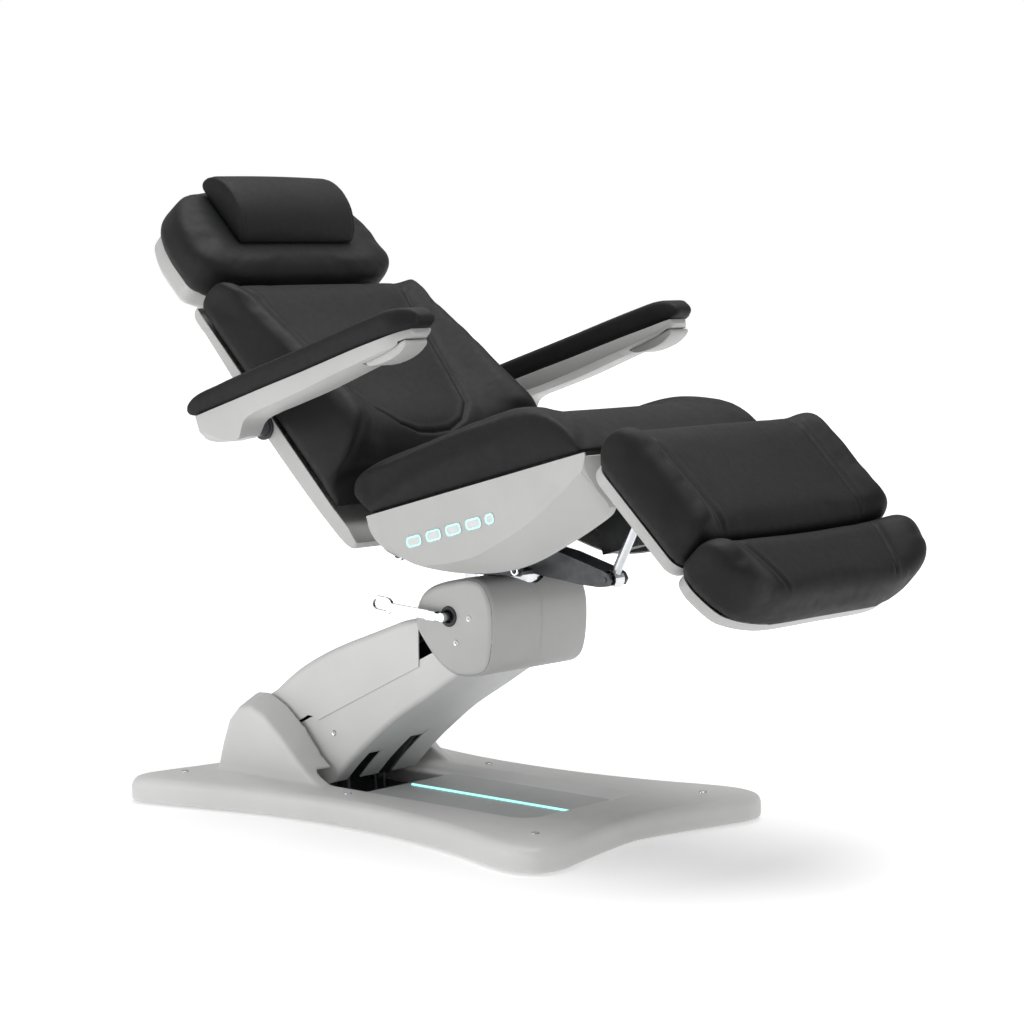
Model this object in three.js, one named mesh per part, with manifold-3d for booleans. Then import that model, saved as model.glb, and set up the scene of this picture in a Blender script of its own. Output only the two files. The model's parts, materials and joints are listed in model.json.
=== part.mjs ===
// Electric facial treatment bed: a low floor base, a tilting lift column, a swivel housing and a
// four-section upholstered top (seat, back with headrest, leg rest, sliding foot rest) with armrests.
// Millimetres. +X points to the feet, +Z up, origin on the floor under the middle of the base.

import * as THREE from 'three';
import { mergeVertices } from 'three/addons/utils/BufferGeometryUtils.js';
import Module from 'manifold-3d';

const wasm = await Module();
wasm.setup();

// ---------------------------------------------------------------- driving dimensions

const GAP = 0.4;                     // clearance between neighbouring solids
const WALL = 4;                      // plastic cover wall

// base
const BASE_HEIGHT = 55;
const PLATE_THICKNESS = 6;
const EAR_INNER_Y = 138;             // inner faces of the two column ears
const EAR_OUTER_Y = 205;
const WELL_FLOOR_Z = 38;
const WELL = { back: -118, front: 372, halfWidth: 176, slope: 26 };

// lift linkage: two parallel links between the base and the swivel housing
const LINK_ANGLE = 28.6;
const LINK_LENGTH = 501;
const LOWER_PIVOT = [-300, 105];
const UPPER_PIVOT = [-335, 150];
const LINK_PIN_R = 12;

// column covers and swivel housing
const COLUMN_HALF = 132.4;
const POD_HALF = 150;
const SWIVEL_X = 160;
const POD_TOP_Z = 508;

// seat section
const SEAT_PIVOT = [180, 560];
const SEAT_ANGLE = 15.5;
const SEAT_HALF = 300;
const SEAT_BASE_V = 100;             // underside of the seat cushion, above the seat pivot
const LEG_PIVOT_SEAT = [484, 70];    // leg hinge, in the seat's own frame
const BACK_PIVOT_SEAT = [-128, 100]; // back hinge, in the seat's own frame
const RAIL = { inner: 100, outer: 130, low: 5, high: 45 };

// back, head, leg and foot sections
const BACK_ANGLE = 45;
const BACK_HALF = 290;
const HEAD_PIVOT_BACK = [640, -50];
const HEAD_HALF = 280;
const POST_Z = -41;
const LEG_ANGLE = -43.5;
const LEG_HALF = 297;
const FOOT_HALF = 300;

// armrests
const ARM_ORIGIN = [-229, 782];
const ARM_PIVOT_LOCAL = [11.8, 7.8];  // pivot, in the armrest's own frame
const ARM_PIVOT_BACK = [298.3, -56]; // boss on the back shell, in the back's own frame
const ARM_ANGLE = 19.5;
const ARM_INNER_Y = 356;
const ARM_OUTER_Y = 446;

// ---------------------------------------------------------------- materials

const paint = (color, roughness, metalness) =>
  new THREE.MeshStandardMaterial({ color, roughness, metalness });
const SHELL = paint(0xd6d6d4, 0.42, 0);
const SHELL_GREY = paint(0xbdbebe, 0.5, 0);
const LEATHER = paint(0x303032, 0.55, 0);
const DARK_STEEL = paint(0x3c3e41, 0.45, 0.6);
const BLACK_PLASTIC = paint(0x1d1e20, 0.5, 0);
const CHROME = paint(0xc9cdd0, 0.18, 1);
const LIGHT = paint(0xa9f3ee, 0.3, 0);
const BUTTON = paint(0xcfd2d2, 0.4, 0);

// ---------------------------------------------------------------- solid helpers

const rad = THREE.MathUtils.degToRad;

function toSolid(geometry) {
  const bare = geometry.clone();
  bare.deleteAttribute('normal');
  bare.deleteAttribute('uv');
  const merged = mergeVertices(bare, 1e-3);
  return new wasm.Manifold(new wasm.Mesh({
    numProp: 3,
    vertProperties: new Float32Array(merged.attributes.position.array),
    triVerts: new Uint32Array(merged.index.array),
  }));
}

function fromSolid(solid) {
  const mesh = solid.getMesh();
  const geometry = new THREE.BufferGeometry();
  geometry.setAttribute('position', new THREE.BufferAttribute(mesh.vertProperties, 3));
  geometry.setIndex(new THREE.BufferAttribute(mesh.triVerts, 1));
  geometry.computeVertexNormals();
  return geometry;
}

const join = (first, ...others) =>
  fromSolid(others.reduce((sum, g) => sum.add(toSolid(g)), toSolid(first)));
const cut = (first, ...others) =>
  fromSolid(others.reduce((rest, g) => rest.subtract(toSolid(g)), toSolid(first)));
const meet = (first, second) => fromSolid(toSolid(first).intersect(toSolid(second)));

const outline = (points) => new THREE.Shape(points.map(([x, y]) => new THREE.Vector2(x, y)));

// Extrudes a shape from low to high along its own third axis, with rounded rims inside the outline.
function slab(shape, low, high, bevel = 0, segments = 2) {
  const geometry = new THREE.ExtrudeGeometry(shape, {
    depth: high - low - 2 * bevel,
    steps: 1,
    curveSegments: 4,
    bevelEnabled: bevel > 0,
    bevelThickness: bevel,
    bevelSize: bevel,
    bevelOffset: -bevel,
    bevelSegments: segments,
  });
  return geometry.translate(0, 0, low + bevel);
}

// A side outline in x and z, carried across the bed from y = low to y = high.
function across(points, low, high, bevel = 0, segments = 2) {
  const geometry = slab(outline(points), -high, -low, bevel, segments);
  return geometry.rotateX(Math.PI / 2);
}
const acrossBoth = (points, half, bevel, segments) => across(points, -half, half, bevel, segments);

// A plan outline in x and y, from z = low to z = high.
const upright = (points, low, high, bevel = 0, segments = 2) =>
  slab(outline(points), low, high, bevel, segments);

function box(x0, x1, y0, y1, z0, z1) {
  const geometry = new THREE.BoxGeometry(x1 - x0, y1 - y0, z1 - z0);
  return geometry.translate((x0 + x1) / 2, (y0 + y1) / 2, (z0 + z1) / 2);
}

// A round bar along y, centred on a point of the side view.
function crossBar([x, z], radius, y0, y1, sides = 14) {
  const geometry = new THREE.CylinderGeometry(radius, radius, y1 - y0, sides);
  return geometry.translate(x, (y0 + y1) / 2, z);
}

// A round bar between two points of the side view, at one y.
function sideBar([x0, z0], [x1, z1], y, radius, sides = 12) {
  const length = Math.hypot(x1 - x0, z1 - z0);
  const geometry = new THREE.CylinderGeometry(radius, radius, length, sides);
  geometry.rotateZ(-Math.PI / 2).rotateY(-Math.atan2(z1 - z0, x1 - x0));
  return geometry.translate((x0 + x1) / 2, y, (z0 + z1) / 2);
}

// A flat bar with round ends between two points of the side view.
function linkBar([x0, z0], [x1, z1], halfHeight, y0, y1) {
  const length = Math.hypot(x1 - x0, z1 - z0);
  const shape = new THREE.Shape();
  shape.absarc(0, 0, halfHeight, Math.PI / 2, 3 * Math.PI / 2, false);
  shape.absarc(length, 0, halfHeight, -Math.PI / 2, Math.PI / 2, false);
  const geometry = slab(shape, -y1, -y0).rotateX(Math.PI / 2);
  return geometry.rotateY(-Math.atan2(z1 - z0, x1 - x0)).translate(x0, 0, z0);
}

function roundedRectangle(x0, x1, half, radii) {
  const [front, rear] = radii;
  const shape = new THREE.Shape();
  shape.absarc(x1 - front, half - front, front, 0, Math.PI / 2, false);
  shape.absarc(x0 + rear, half - rear, rear, Math.PI / 2, Math.PI, false);
  shape.absarc(x0 + rear, rear - half, rear, Math.PI, 3 * Math.PI / 2, false);
  shape.absarc(x1 - front, front - half, front, -Math.PI / 2, 0, false);
  return shape;
}

const mirrorY = (geometry) => {
  const flipped = geometry.clone().scale(1, -1, 1);
  const source = flipped.index ? flipped : mergeVertices(flipped);
  const index = source.index.array.slice();
  for (let i = 0; i < index.length; i += 3) [index[i], index[i + 1]] = [index[i + 1], index[i]];
  source.setIndex(new THREE.BufferAttribute(index, 1));
  source.deleteAttribute('normal');
  source.computeVertexNormals();
  return source;
};

const bed = new THREE.Group();

function add(parent, name, geometry, material) {
  const mesh = new THREE.Mesh(geometry, material);
  mesh.name = name;
  parent.add(mesh);
}

// A frame in the side view: its origin at [x, z], its x axis raised by an angle in degrees.
function sideFrame([x, z], angle) {
  const frame = new THREE.Group();
  frame.position.set(x, 0, z);
  frame.rotation.y = -rad(angle);
  bed.add(frame);
  return frame;
}

// A point of the side view expressed in world x and z, from a frame's own coordinates.
function toWorld([x, z], angle, [u, v]) {
  const c = Math.cos(rad(angle));
  const s = Math.sin(rad(angle));
  return [x + u * c - v * s, z + u * s + v * c];
}

// ---------------------------------------------------------------- base

// Half of the floor outline: a bone-shaped plan, pinched at the waist, with four rounded corners.
const BASE_EDGE = [
  [508, 0], [526, 120], [548, 225], [563, 295], [549, 350], [503, 370], [436, 360], [336, 328],
  [220, 302], [90, 285], [-80, 283], [-240, 303], [-390, 344], [-470, 367], [-528, 378],
  [-560, 350], [-555, 290], [-536, 190], [-524, 95], [-520, 0],
];

function baseOutline(inset) {
  const far = BASE_EDGE.slice(1, -1).map(([x, y]) => [x, -y]).reverse();
  const curve = new THREE.CatmullRomCurve3(
    [...BASE_EDGE, ...far].map(([x, y]) => new THREE.Vector3(x, y, 0)), true, 'centripetal');
  const shrink = (value, extent) => value * (1 - inset / extent);
  return curve.getSpacedPoints(56).slice(0, -1).map((p) => [shrink(p.x, 560), shrink(p.y, 290)]);
}

const EAR_INNER = [
  [-472, 46], [-462, 110], [-440, 178], [-405, 220], [-368, 224], [-318, 201], [-264, 166],
  [-214, 104], [-165, 66], [-98, 46],
];
const EAR_OUTER = [
  [-458, 46], [-446, 108], [-424, 164], [-394, 197], [-362, 201], [-320, 184], [-268, 144],
  [-224, 101], [-190, 74], [-140, 46],
];

// A solid between two side outlines with the same number of points, at y = yInner and y = yOuter.
function earSolid(inner, outer, yInner, yOuter) {
  const count = inner.length;
  const positions = [];
  inner.forEach(([x, z]) => positions.push(x, yInner, z));
  outer.forEach(([x, z]) => positions.push(x, yOuter, z));
  const faces = [];
  for (let i = 0; i < count; i++) {
    const j = (i + 1) % count;
    faces.push(i, j, count + j, i, count + j, count + i);
  }
  for (const [a, b, c] of capTriangles(inner)) faces.push(a, c, b);
  for (const [a, b, c] of capTriangles(outer)) faces.push(count + a, count + b, count + c);
  const geometry = new THREE.BufferGeometry();
  geometry.setAttribute('position', new THREE.Float32BufferAttribute(positions, 3));
  geometry.setIndex(faces);
  return geometry;
}

// Triangles of a clockwise outline, each wound the same way as the outline.
function capTriangles(points) {
  const contour = points.map(([x, z]) => new THREE.Vector2(x, z));
  const windsAs = (list) => Math.sign(THREE.ShapeUtils.area(list));
  const wanted = windsAs(contour);
  return THREE.ShapeUtils.triangulateShape(contour, []).map(([a, b, c]) =>
    (windsAs([contour[a], contour[b], contour[c]]) === wanted ? [a, b, c] : [a, c, b]));
}

const lowered = (points, amount, middle) =>
  points.map(([x, z]) => [middle + (x - middle) * (1 - amount / 150), Math.max(z - amount, -10)]);

function wellPocket(grow) {
  const { back, front, halfWidth, slope } = WELL;
  const ring = (half, end, z) => roundedRectangle(back - grow, end + grow, half + grow, [34, 10])
    .getPoints(4).slice(0, -1).map((p) => new THREE.Vector3(p.x, p.y, z));
  const low = ring(halfWidth - slope, front - slope * 0.7, WELL_FLOOR_Z - 8);
  const high = ring(halfWidth, front, BASE_HEIGHT + 4);
  return loft(low, high);
}

// A closed solid between two convex rings with the same number of points.
function loft(low, high) {
  const count = low.length;
  const middle = (ring) => ring.reduce((sum, p) => sum.clone().add(p), new THREE.Vector3())
    .divideScalar(count);
  const points = [...low, ...high, middle(low), middle(high)];
  const faces = [];
  for (let i = 0; i < count; i++) {
    const j = (i + 1) % count;
    faces.push(i, j, count + j, i, count + j, count + i);
    faces.push(2 * count, j, i, 2 * count + 1, count + i, count + j);
  }
  const geometry = new THREE.BufferGeometry().setFromPoints(points);
  geometry.setIndex(faces);
  return geometry;
}

function buildBaseCover() {
  const outer = upright(baseOutline(0), 2, BASE_HEIGHT, 10, 2);
  const inner = upright(baseOutline(6), -20, BASE_HEIGHT - WALL, 8, 1);
  const ear = earSolid(EAR_INNER, EAR_OUTER, EAR_INNER_Y, EAR_OUTER_Y);
  const hollow = earSolid(lowered(EAR_INNER, 8, -300), lowered(EAR_OUTER, 8, -300),
    EAR_INNER_Y + WALL, EAR_OUTER_Y - WALL);
  const bridge = across([[-474, 46], [-458, 118], [-444, 156], [-437, 156], [-437, 46]],
    -EAR_INNER_Y - 2, EAR_INNER_Y + 2);
  const solid = join(outer, ear, mirrorY(ear), bridge, wellPocket(WALL));
  // The hollow under the cover stops at the walls of the well.
  return cut(solid, cut(inner, wellPocket(WALL)), hollow, mirrorY(hollow), wellPocket(0),
    box(-437, WELL.back + 6, -EAR_INNER_Y, EAR_INNER_Y, -5, 300),
    box(-540, -500, -23, 23, 11, 43));
}

function buildBasePlate() {
  const plate = upright(baseOutline(26), 0, PLATE_THICKNESS);
  const cheek = [[-416, 5], [-378, 140], [-358, 168], [-335, 175], [-314, 168], [-285, 132],
    [-262, 98], [-252, 5]];
  const clevis = [[-240, 5], [-236, 54], [-206, 54], [-202, 5]];
  const stop = [[-236, 5], [-230, 50], [-204, 50], [-200, 5]];
  const stops = [across(clevis, 8, 13), across(clevis, 34, 39), across(stop, -76, -68)];
  const cheeks = [across(cheek, 84, 92), across(cheek, -92, -84)];
  const body = join(plate, ...cheeks, ...stops);
  return cut(body, crossBar(LOWER_PIVOT, LINK_PIN_R + 0.6, -100, 100),
    crossBar(UPPER_PIVOT, LINK_PIN_R + 0.6, -100, 100),
    crossBar(LIFT_MOTOR_PIN, 8.6, 0, 50));
}

const LIFT_MOTOR_PIN = [-215, 42];
const LIFT_ACTUATOR_Y = 23.5;

function buildPowerInlet() {
  const body = box(-522.5, -505, -22, 22, 12, 42);
  return cut(body, box(-530, -512, -14, 14, 19, 36));
}

function buildBase() {
  add(bed, 'base_plate', buildBasePlate(), DARK_STEEL);
  add(bed, 'base_cover', buildBaseCover(), SHELL);
  const floorHalf = WELL.halfWidth - WELL.slope - 0.5;
  const floor = slab(roundedRectangle(WELL.back + 8, WELL.front - 19.5, floorHalf, [34, 10]),
    WELL_FLOOR_Z - 4, WELL_FLOOR_Z);
  const underlay = box(WELL.back + 7, WELL.front - 24, -20, 20, WELL_FLOOR_Z - 20, WELL_FLOOR_Z - 3.9);
  add(bed, 'well_floor', join(floor, underlay), SHELL_GREY);
  add(bed, 'led_strip', box(-90, 341, -2.5, 2.5, WELL_FLOOR_Z + GAP, WELL_FLOOR_Z + 3), LIGHT);
  add(bed, 'power_inlet', buildPowerInlet(), BLACK_PLASTIC);
}

// ---------------------------------------------------------------- lift linkage and column

const alongLink = (pivot, distance) => toWorld(pivot, LINK_ANGLE, [distance, 0]);
const LOWER_TOP = alongLink(LOWER_PIVOT, LINK_LENGTH);
const UPPER_TOP = alongLink(UPPER_PIVOT, LINK_LENGTH);
const LIFT_ROD_PIN = alongLink(LOWER_PIVOT, 330);

// Two side bars with a tube between them and a welded pin at each end.
function buildLink(pivot, halfHeight, y0, y1, tubeAt, pins = []) {
  const top = alongLink(pivot, LINK_LENGTH);
  const bars = [linkBar(pivot, top, halfHeight, y0, y1), linkBar(pivot, top, halfHeight, -y1, -y0)];
  const tube = crossBar(alongLink(pivot, tubeAt), 12, -y0 - 1, y0 + 1);
  const ends = [pivot, top].map((p) => crossBar(p, LINK_PIN_R, -96, 96));
  return join(...bars, tube, ...ends, ...pins);
}

const PARTING_SLOPE = 0.492;
const partingZ = (x) => 192 + PARTING_SLOPE * (x + 200);

const COLUMN_FRONT = [
  [-190, 50], [-158, 84], [-110, 128], [-82, 151], [-20, 199], [62, 250], [130, 293], [150, 305],
];
const LOWER_COVER_REAR = [[-290, 162], [-320, 148], [-355, 130], [-362, 90], [-345, 45],
  [-300, 24], [-240, 33]];
const UPPER_COVER_TOP = [
  [-385, 150], [-402, 180], [-392, 206], [-361, 225], [-340, 240], [-287, 280], [-228, 312],
  [-170, 338], [-99, 365], [-43, 386], [0, 402], [50, 413],
];

function buildLowerCover() {
  const lap = [[150, partingZ(150) + 14], [-200, partingZ(-200) + 14], [-290, 162]];
  const half = COLUMN_HALF - 3.2;
  const outer = acrossBoth([...COLUMN_FRONT, ...lap, ...LOWER_COVER_REAR.slice(1)], half, 12, 2);
  const cavity = [[-420, -20], [-192, -20], [-186.5, 53], [-155, 87], [-107, 131], [-79, 154],
    [-17, 202], [64, 253.5], [132, 296.5], [170, 320], [170, 420], [-420, 420]];
  const slot = (y0, y1, top) => across([[-240, 0], [-150, 0], [top[0] + 12, top[1] - 12],
    [top[0], top[1] + 4], [-200, 75]], y0, y1);
  return cut(outer, acrossBoth(cavity, half - 3, 9, 1), slot(-90, -52, [-114, 118]),
    slot(3, 44, [-75, 152]), acrossBoth([[-420, 0], [-205, 0], [-205, 70], [-420, 70]], 100));
}

function buildUpperCover() {
  const skirt = [[50, partingZ(50)], [-200, 192], [-232, 176], [-244, 182], [-262, 183],
    [-276, 175], [-300, 163], [-350, 142]];
  const outer = acrossBoth([...UPPER_COVER_TOP.slice().reverse(), ...skirt.slice().reverse()]
    .reverse(), COLUMN_HALF, 14, 2);
  const cavity = [[-398, 100], [-398, 181], [-389, 203], [-359, 221.5], [-338, 236.5],
    [-285, 276.5], [-227, 308.5], [-169, 334.5], [-98, 361.5], [-42, 382.5], [0, 398.5],
    [60, 411], [60, 100]];
  return cut(outer, acrossBoth(cavity, COLUMN_HALF - 2.6, 11, 1));
}

// A motor and tube with an eye at its foot, and the matching chrome rod with an eye at its tip.
function motorSolid(foot, towards, y, { eye, tube, reach }) {
  const angle = Math.atan2(towards[1] - foot[1], towards[0] - foot[0]);
  const at = (d) => [foot[0] + d * Math.cos(angle), foot[1] + d * Math.sin(angle)];
  const body = join(crossBar(foot, eye, y - 7.5, y + 7.5), sideBar(at(4), at(30), y, 7),
    sideBar(at(26), at(reach), y, tube));
  const bore = sideBar(at(40), at(reach + 5), y, tube - 3.5);
  return cut(body, crossBar(foot, eye - 5, y - 20, y + 20), bore);
}

function rodSolid(foot, tip, y, { radius, eye, hole, from, halfWidth = 7 }) {
  const angle = Math.atan2(tip[1] - foot[1], tip[0] - foot[0]);
  const length = Math.hypot(tip[0] - foot[0], tip[1] - foot[1]);
  const at = (d) => [foot[0] + d * Math.cos(angle), foot[1] + d * Math.sin(angle)];
  const bar = sideBar(at(from), at(length - (eye + hole) / 2), y, radius);
  return cut(join(bar, crossBar(tip, eye, y - halfWidth, y + halfWidth)),
    crossBar(tip, hole, y - 30, y + 30));
}

function buildLiftLinkage() {
  const liftPin = crossBar(LIFT_ROD_PIN, 8, -72, 72);
  add(bed, 'lower_link', buildLink(LOWER_PIVOT, 22, 70, 79, 120, [liftPin]), DARK_STEEL);
  add(bed, 'upper_link', buildLink(UPPER_PIVOT, 19, 57, 64, 250), DARK_STEEL);
  add(bed, 'column_cover_lower', buildLowerCover(), SHELL);
  add(bed, 'column_cover_upper', buildUpperCover(), SHELL);
  add(bed, 'lift_motor', motorSolid(LIFT_MOTOR_PIN, LIFT_ROD_PIN, LIFT_ACTUATOR_Y,
    { eye: 14, tube: 17, reach: 205 }), BLACK_PLASTIC);
  add(bed, 'lift_rod', rodSolid(LIFT_MOTOR_PIN, LIFT_ROD_PIN, LIFT_ACTUATOR_Y,
    { radius: 10, eye: 22, hole: 15, from: 110 }), CHROME);
}

// ---------------------------------------------------------------- swivel housing

const POD_OUTLINE = [
  [54, 402], [58, 441], [74, 467], [100, 483], [157, 500], [205, 508], [232, 500], [256, 462],
  [262, 430], [258, 362], [246, 330], [230, 318], [167, 309], [140, 317], [107, 338], [74, 373],
];
const LEVER_HUB = [148, 427];
const POD_DECK_Z = 480;

function shrinkOutline(points, amount) {
  const cx = points.reduce((s, p) => s + p[0], 0) / points.length;
  const cz = points.reduce((s, p) => s + p[1], 0) / points.length;
  return points.map(([x, z]) => {
    const reach = Math.hypot(x - cx, z - cz);
    return [x + (cx - x) * amount / reach, z + (cz - z) * amount / reach];
  });
}

function buildPodHalf(side) {
  const outer = acrossBoth(POD_OUTLINE, POD_HALF, 14, 2);
  const inner = acrossBoth(shrinkOutline(POD_OUTLINE, WALL + 0.5), POD_HALF - WALL, 11, 1);
  const columnMouth = acrossBoth([[20, 330], [20, 442], [90, 442], [120, 400], [166, 330],
    [168, 290], [90, 290]], COLUMN_HALF + 4);
  const bearingHole = new THREE.CylinderGeometry(84, 84, 60, 32).rotateX(Math.PI / 2)
    .translate(SWIVEL_X, 0, POD_TOP_Z);
  const leverHole = crossBar(LEVER_HUB, 21, -170, -130);
  const keep = side < 0 ? box(-100, 400, -200, -0.2, 200, 600) : box(-100, 400, 0.2, 200, 200, 600);
  return meet(cut(outer, inner, columnMouth, bearingHole, leverHole), keep);
}

function buildPodFrame() {
  const [lx, lz] = LOWER_TOP;
  const [ux, uz] = UPPER_TOP;
  const cheek = [[lx - 24, lz - 14], [lx, lz - 25], [lx + 24, lz - 14], [lx + 70, 440],
    [232, POD_DECK_Z], [112, POD_DECK_Z], [ux - 20, 450], [ux - 22, uz]];
  const top = box(112, 234, -92, 92, POD_DECK_Z - 8, POD_DECK_Z);
  const body = join(across(cheek, 84, 92), across(cheek, -92, -84), top);
  const holes = [LOWER_TOP, UPPER_TOP].map((p) => crossBar(p, LINK_PIN_R + 0.6, -100, 100));
  return cut(body, ...holes);
}

function buildLockLever() {
  const [x, z] = LEVER_HUB;
  const rise = 0.055;
  const grip = linkBar([x - 38, z + 2], [x - 150, z + 112 * rise + 2], 9, -170, -163);
  const loop = linkBar([x - 152, z + 10], [x - 178, z + 12], 17, -170, -163);
  const eye = linkBar([x - 153, z + 10], [x - 177, z + 12], 10, -180, -150);
  const fork = box(x - 44, x - 18, -172, -160, z - 8, z + 10);
  const stem = crossBar(LEVER_HUB, 9, -174, -144.6, 16);
  const neck = box(x - 30, x, -172, -160, z - 7, z + 7);
  return cut(join(grip, loop, fork, neck, stem), eye);
}

function buildPod() {
  add(bed, 'pod_frame', buildPodFrame(), DARK_STEEL);
  add(bed, 'pod_cover_near', buildPodHalf(-1), SHELL);
  add(bed, 'pod_cover_far', buildPodHalf(1), SHELL);
  const height = TURNTABLE_LOW - POD_DECK_Z - 0.8;
  const bearing = new THREE.CylinderGeometry(78, 78, height, 32).rotateX(Math.PI / 2);
  add(bed, 'swivel_bearing', bearing.translate(SWIVEL_X, 0, POD_DECK_Z + 0.4 + height / 2), CHROME);
  add(bed, 'lock_lever', buildLockLever(), CHROME);
}

// ---------------------------------------------------------------- turntable and seat frame

const TILT_ROD_PIN = [443, 511];
const GAS_ROD_PIN = [268, 521];
const GAS_Y = -89;
const TURNTABLE_LOW = 509.5;
const TURNTABLE_HIGH = 517;

function buildTurntable() {
  const disc = new THREE.CylinderGeometry(108, 108, TURNTABLE_HIGH - TURNTABLE_LOW, 32)
    .rotateX(Math.PI / 2).translate(SWIVEL_X, 0, (TURNTABLE_HIGH + TURNTABLE_LOW) / 2);
  const deck = box(120, 262, -84, 84, TURNTABLE_LOW, TURNTABLE_HIGH);
  const cheek = [[135, 515], [160, 566], [180, 576], [200, 566], [225, 515]];
  const arm = [[150, 512], [247, 512], [376, 498], [430, 496], [452, 499], [459, 511], [452, 523],
    [439, 529], [337, 556], [276, 566], [232, 556], [200, 530]];
  const lug = [[190, 510], [255, 510], [275, 509.6], [284, 520], [277, 531], [262, 533], [200, 524]];
  const parts = [deck, across(cheek, 60, 68), across(cheek, -68, -60), across(arm, 22, 28),
    across(arm, -28, -22), across(lug, -83, -78)];
  const web = box(236, 262, -24, 24, 512, 556);
  const pins = [crossBar(TILT_ROD_PIN, 5.5, -30, 30, 12), crossBar(GAS_ROD_PIN, 4, -94, -80, 12)];
  return cut(join(disc, ...parts, web, ...pins), crossBar(SEAT_PIVOT, 8.6, -80, 80));
}

const TILT_MOTOR_SEAT = [408, 68];
const GAS_TUBE_SEAT = [282.6, 27.5];
const BACK_MOTOR_SEAT = [150, 25];
const LEG_MOTOR_SEAT = [150, 11];
const BACK_ACTUATOR_Y = -165;
const LEG_ACTUATOR_Y = 165;

function buildSeatFrame() {
  const { inner, outer, low, high } = RAIL;
  const [bu, bv] = BACK_PIVOT_SEAT;
  const [lu, lv] = LEG_PIVOT_SEAT;
  const both = (points, y0, y1) => [across(points, y0, y1), across(points, -y1, -y0)];
  const rail = both([[-120, low], [450, low], [450, high], [-120, high]], inner, outer);
  const backPlate = both([[-120, 8], [-80, 8], [-80, 44], [bu + 15, bv + 4], [bu + 8, bv + 11],
    [bu, bv + 13], [bu - 9, bv + 10], [bu - 14, bv], [bu - 10, bv - 14]], 118, 126);
  const legPlate = both([[420, 8], [450, 8], [455, 40], [466, 56], [lu + 2, lv - 12], [lu + 11, lv - 6],
    [lu + 13, lv + 2], [lu + 8, lv + 10], [lu - 4, lv + 11], [450, 78], [420, 60]], 118, 126);
  const pivotLug = both([[-14, -8], [-8, -14], [8, -14], [14, -8], [20, 30], [-20, 30]], 71, 77);
  const beams = [box(-22, 22, -101, 101, 18, 44), box(412, 426, -101, 101, 18, 44),
    box(-100, -88, -101, 101, 18, 44)];
  const tiltLug = both([[412, 20], [425, 20], [424, 60], [419, 74], [408, 79], [398, 74], [396, 62],
    [412, 44]], 20, 26);
  const motorPad = [
    across([[136, 2], [165, 2], [165, 40], [136, 40]], -177.5, -128),
    across([[136, -4], [165, -4], [165, 28], [136, 28]], 128, 177.5),
  ];
  const notch = [across([[120, -20], [180, -20], [180, 60], [120, 60]], -173.8, -156.2),
    across([[120, -20], [180, -20], [180, 60], [120, 60]], 156.2, 173.8)];
  const posts = [box(-80, -50, -128, -102, 40, 89), box(-80, -50, 102, 128, 40, 89),
    box(360, 380, -128, -102, 40, 89), box(360, 380, 102, 128, 40, 89)];
  const body = join(...rail, ...backPlate, ...legPlate, ...pivotLug, ...beams, ...tiltLug,
    ...motorPad, ...posts);
  const holed = cut(body, ...notch, crossBar([bu, bv], 8.6, -140, 140),
    crossBar([lu, lv], 8.6, -140, 140));
  return join(holed, crossBar([0, 0], 8, -82, 82), crossBar(TILT_MOTOR_SEAT, 7, -21, 21),
    crossBar(GAS_TUBE_SEAT, 3.6, -101, -80, 12),
    crossBar([BACK_MOTOR_SEAT[0], crankPin(BACK_PIVOT_SEAT, BACK_CRANK, -107.75)[1]], 6, -177, -150),
    crossBar([LEG_MOTOR_SEAT[0], crankPin(LEG_PIVOT_SEAT, LEG_CRANK, -101)[1]], 6, 150, 177));
}

// The seat shell: deep side skirts that turn inwards below, an open middle and a flat top.
const SEAT_SHELL_SIDE = [
  [-91, 99.5], [-88, 68], [-70, 38], [-24, 5], [23, -24], [90, -56], [165, -68], [240, -67],
  [321, -50], [420, -24], [454, -10], [459, 30], [464, 70], [478, 92], [476, 99.5],
];
const SEAT_SHELL_SECTION = [
  [-298, 100], [-298, 14], [-286, -22], [-240, -72], [240, -72], [286, -22], [298, 14], [298, 100],
];

// A section outline in y and z, carried along x.
function along(points, x0, x1) {
  const geometry = slab(outline(points), x0, x1);
  return geometry.rotateX(Math.PI / 2).rotateZ(Math.PI / 2);
}

function buildSeatShell() {
  const outer = meet(acrossBoth(SEAT_SHELL_SIDE, 298), along(SEAT_SHELL_SECTION, -120, 520));
  const insideSide = [[-100, 89.5], [-84, 70], [-67, 42], [-22, 9], [24, -20], [91, -52],
    [165, -64], [240, -63], [320, -46], [418, -20], [450, -7], [455, 31], [460, 71], [470, 89.5]];
  const insideSection = [[-294, 89.5], [-294, 13], [-282, -20], [-238, -68], [238, -68],
    [282, -20], [294, 13], [294, 89.5]];
  const inner = meet(acrossBoth(insideSide, 294), along(insideSection, -130, 520));
  const middle = box(-140, 540, -212, 212, -90, 89.5);
  const hingeRoom = [box(-140, -84, -140, 140, 60, 110), box(440, 500, -140, 140, 60, 94)];
  const wells = BUTTONS_SEAT.map(([u, v, halfLength, halfHeight]) =>
    box(u - halfLength - 0.5, u + halfLength + 0.5, -305, -285, v - halfHeight - 0.5,
      v + halfHeight + 0.5));
  return cut(outer, inner, middle, ...hingeRoom, ...wells);
}

// Keypad on the near skirt: four wide keys and a narrow one, in a row along the seat.
const BUTTONS_SEAT = [0, 1, 2, 3].map((i) => [20 + 52.6 * i, 27 + 0.5 * i, 17.5, 8.5])
  .concat([[220, 29, 9, 8]]);

const SEAT_CUSHION_SIDE = [
  [-88, 100], [-118, 121], [-138, 142], [-133, 172], [-108, 190], [-60, 201], [60, 213],
  [200, 223], [300, 222], [360, 213], [410, 193], [446, 160], [468, 126], [475, 100],
];

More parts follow.
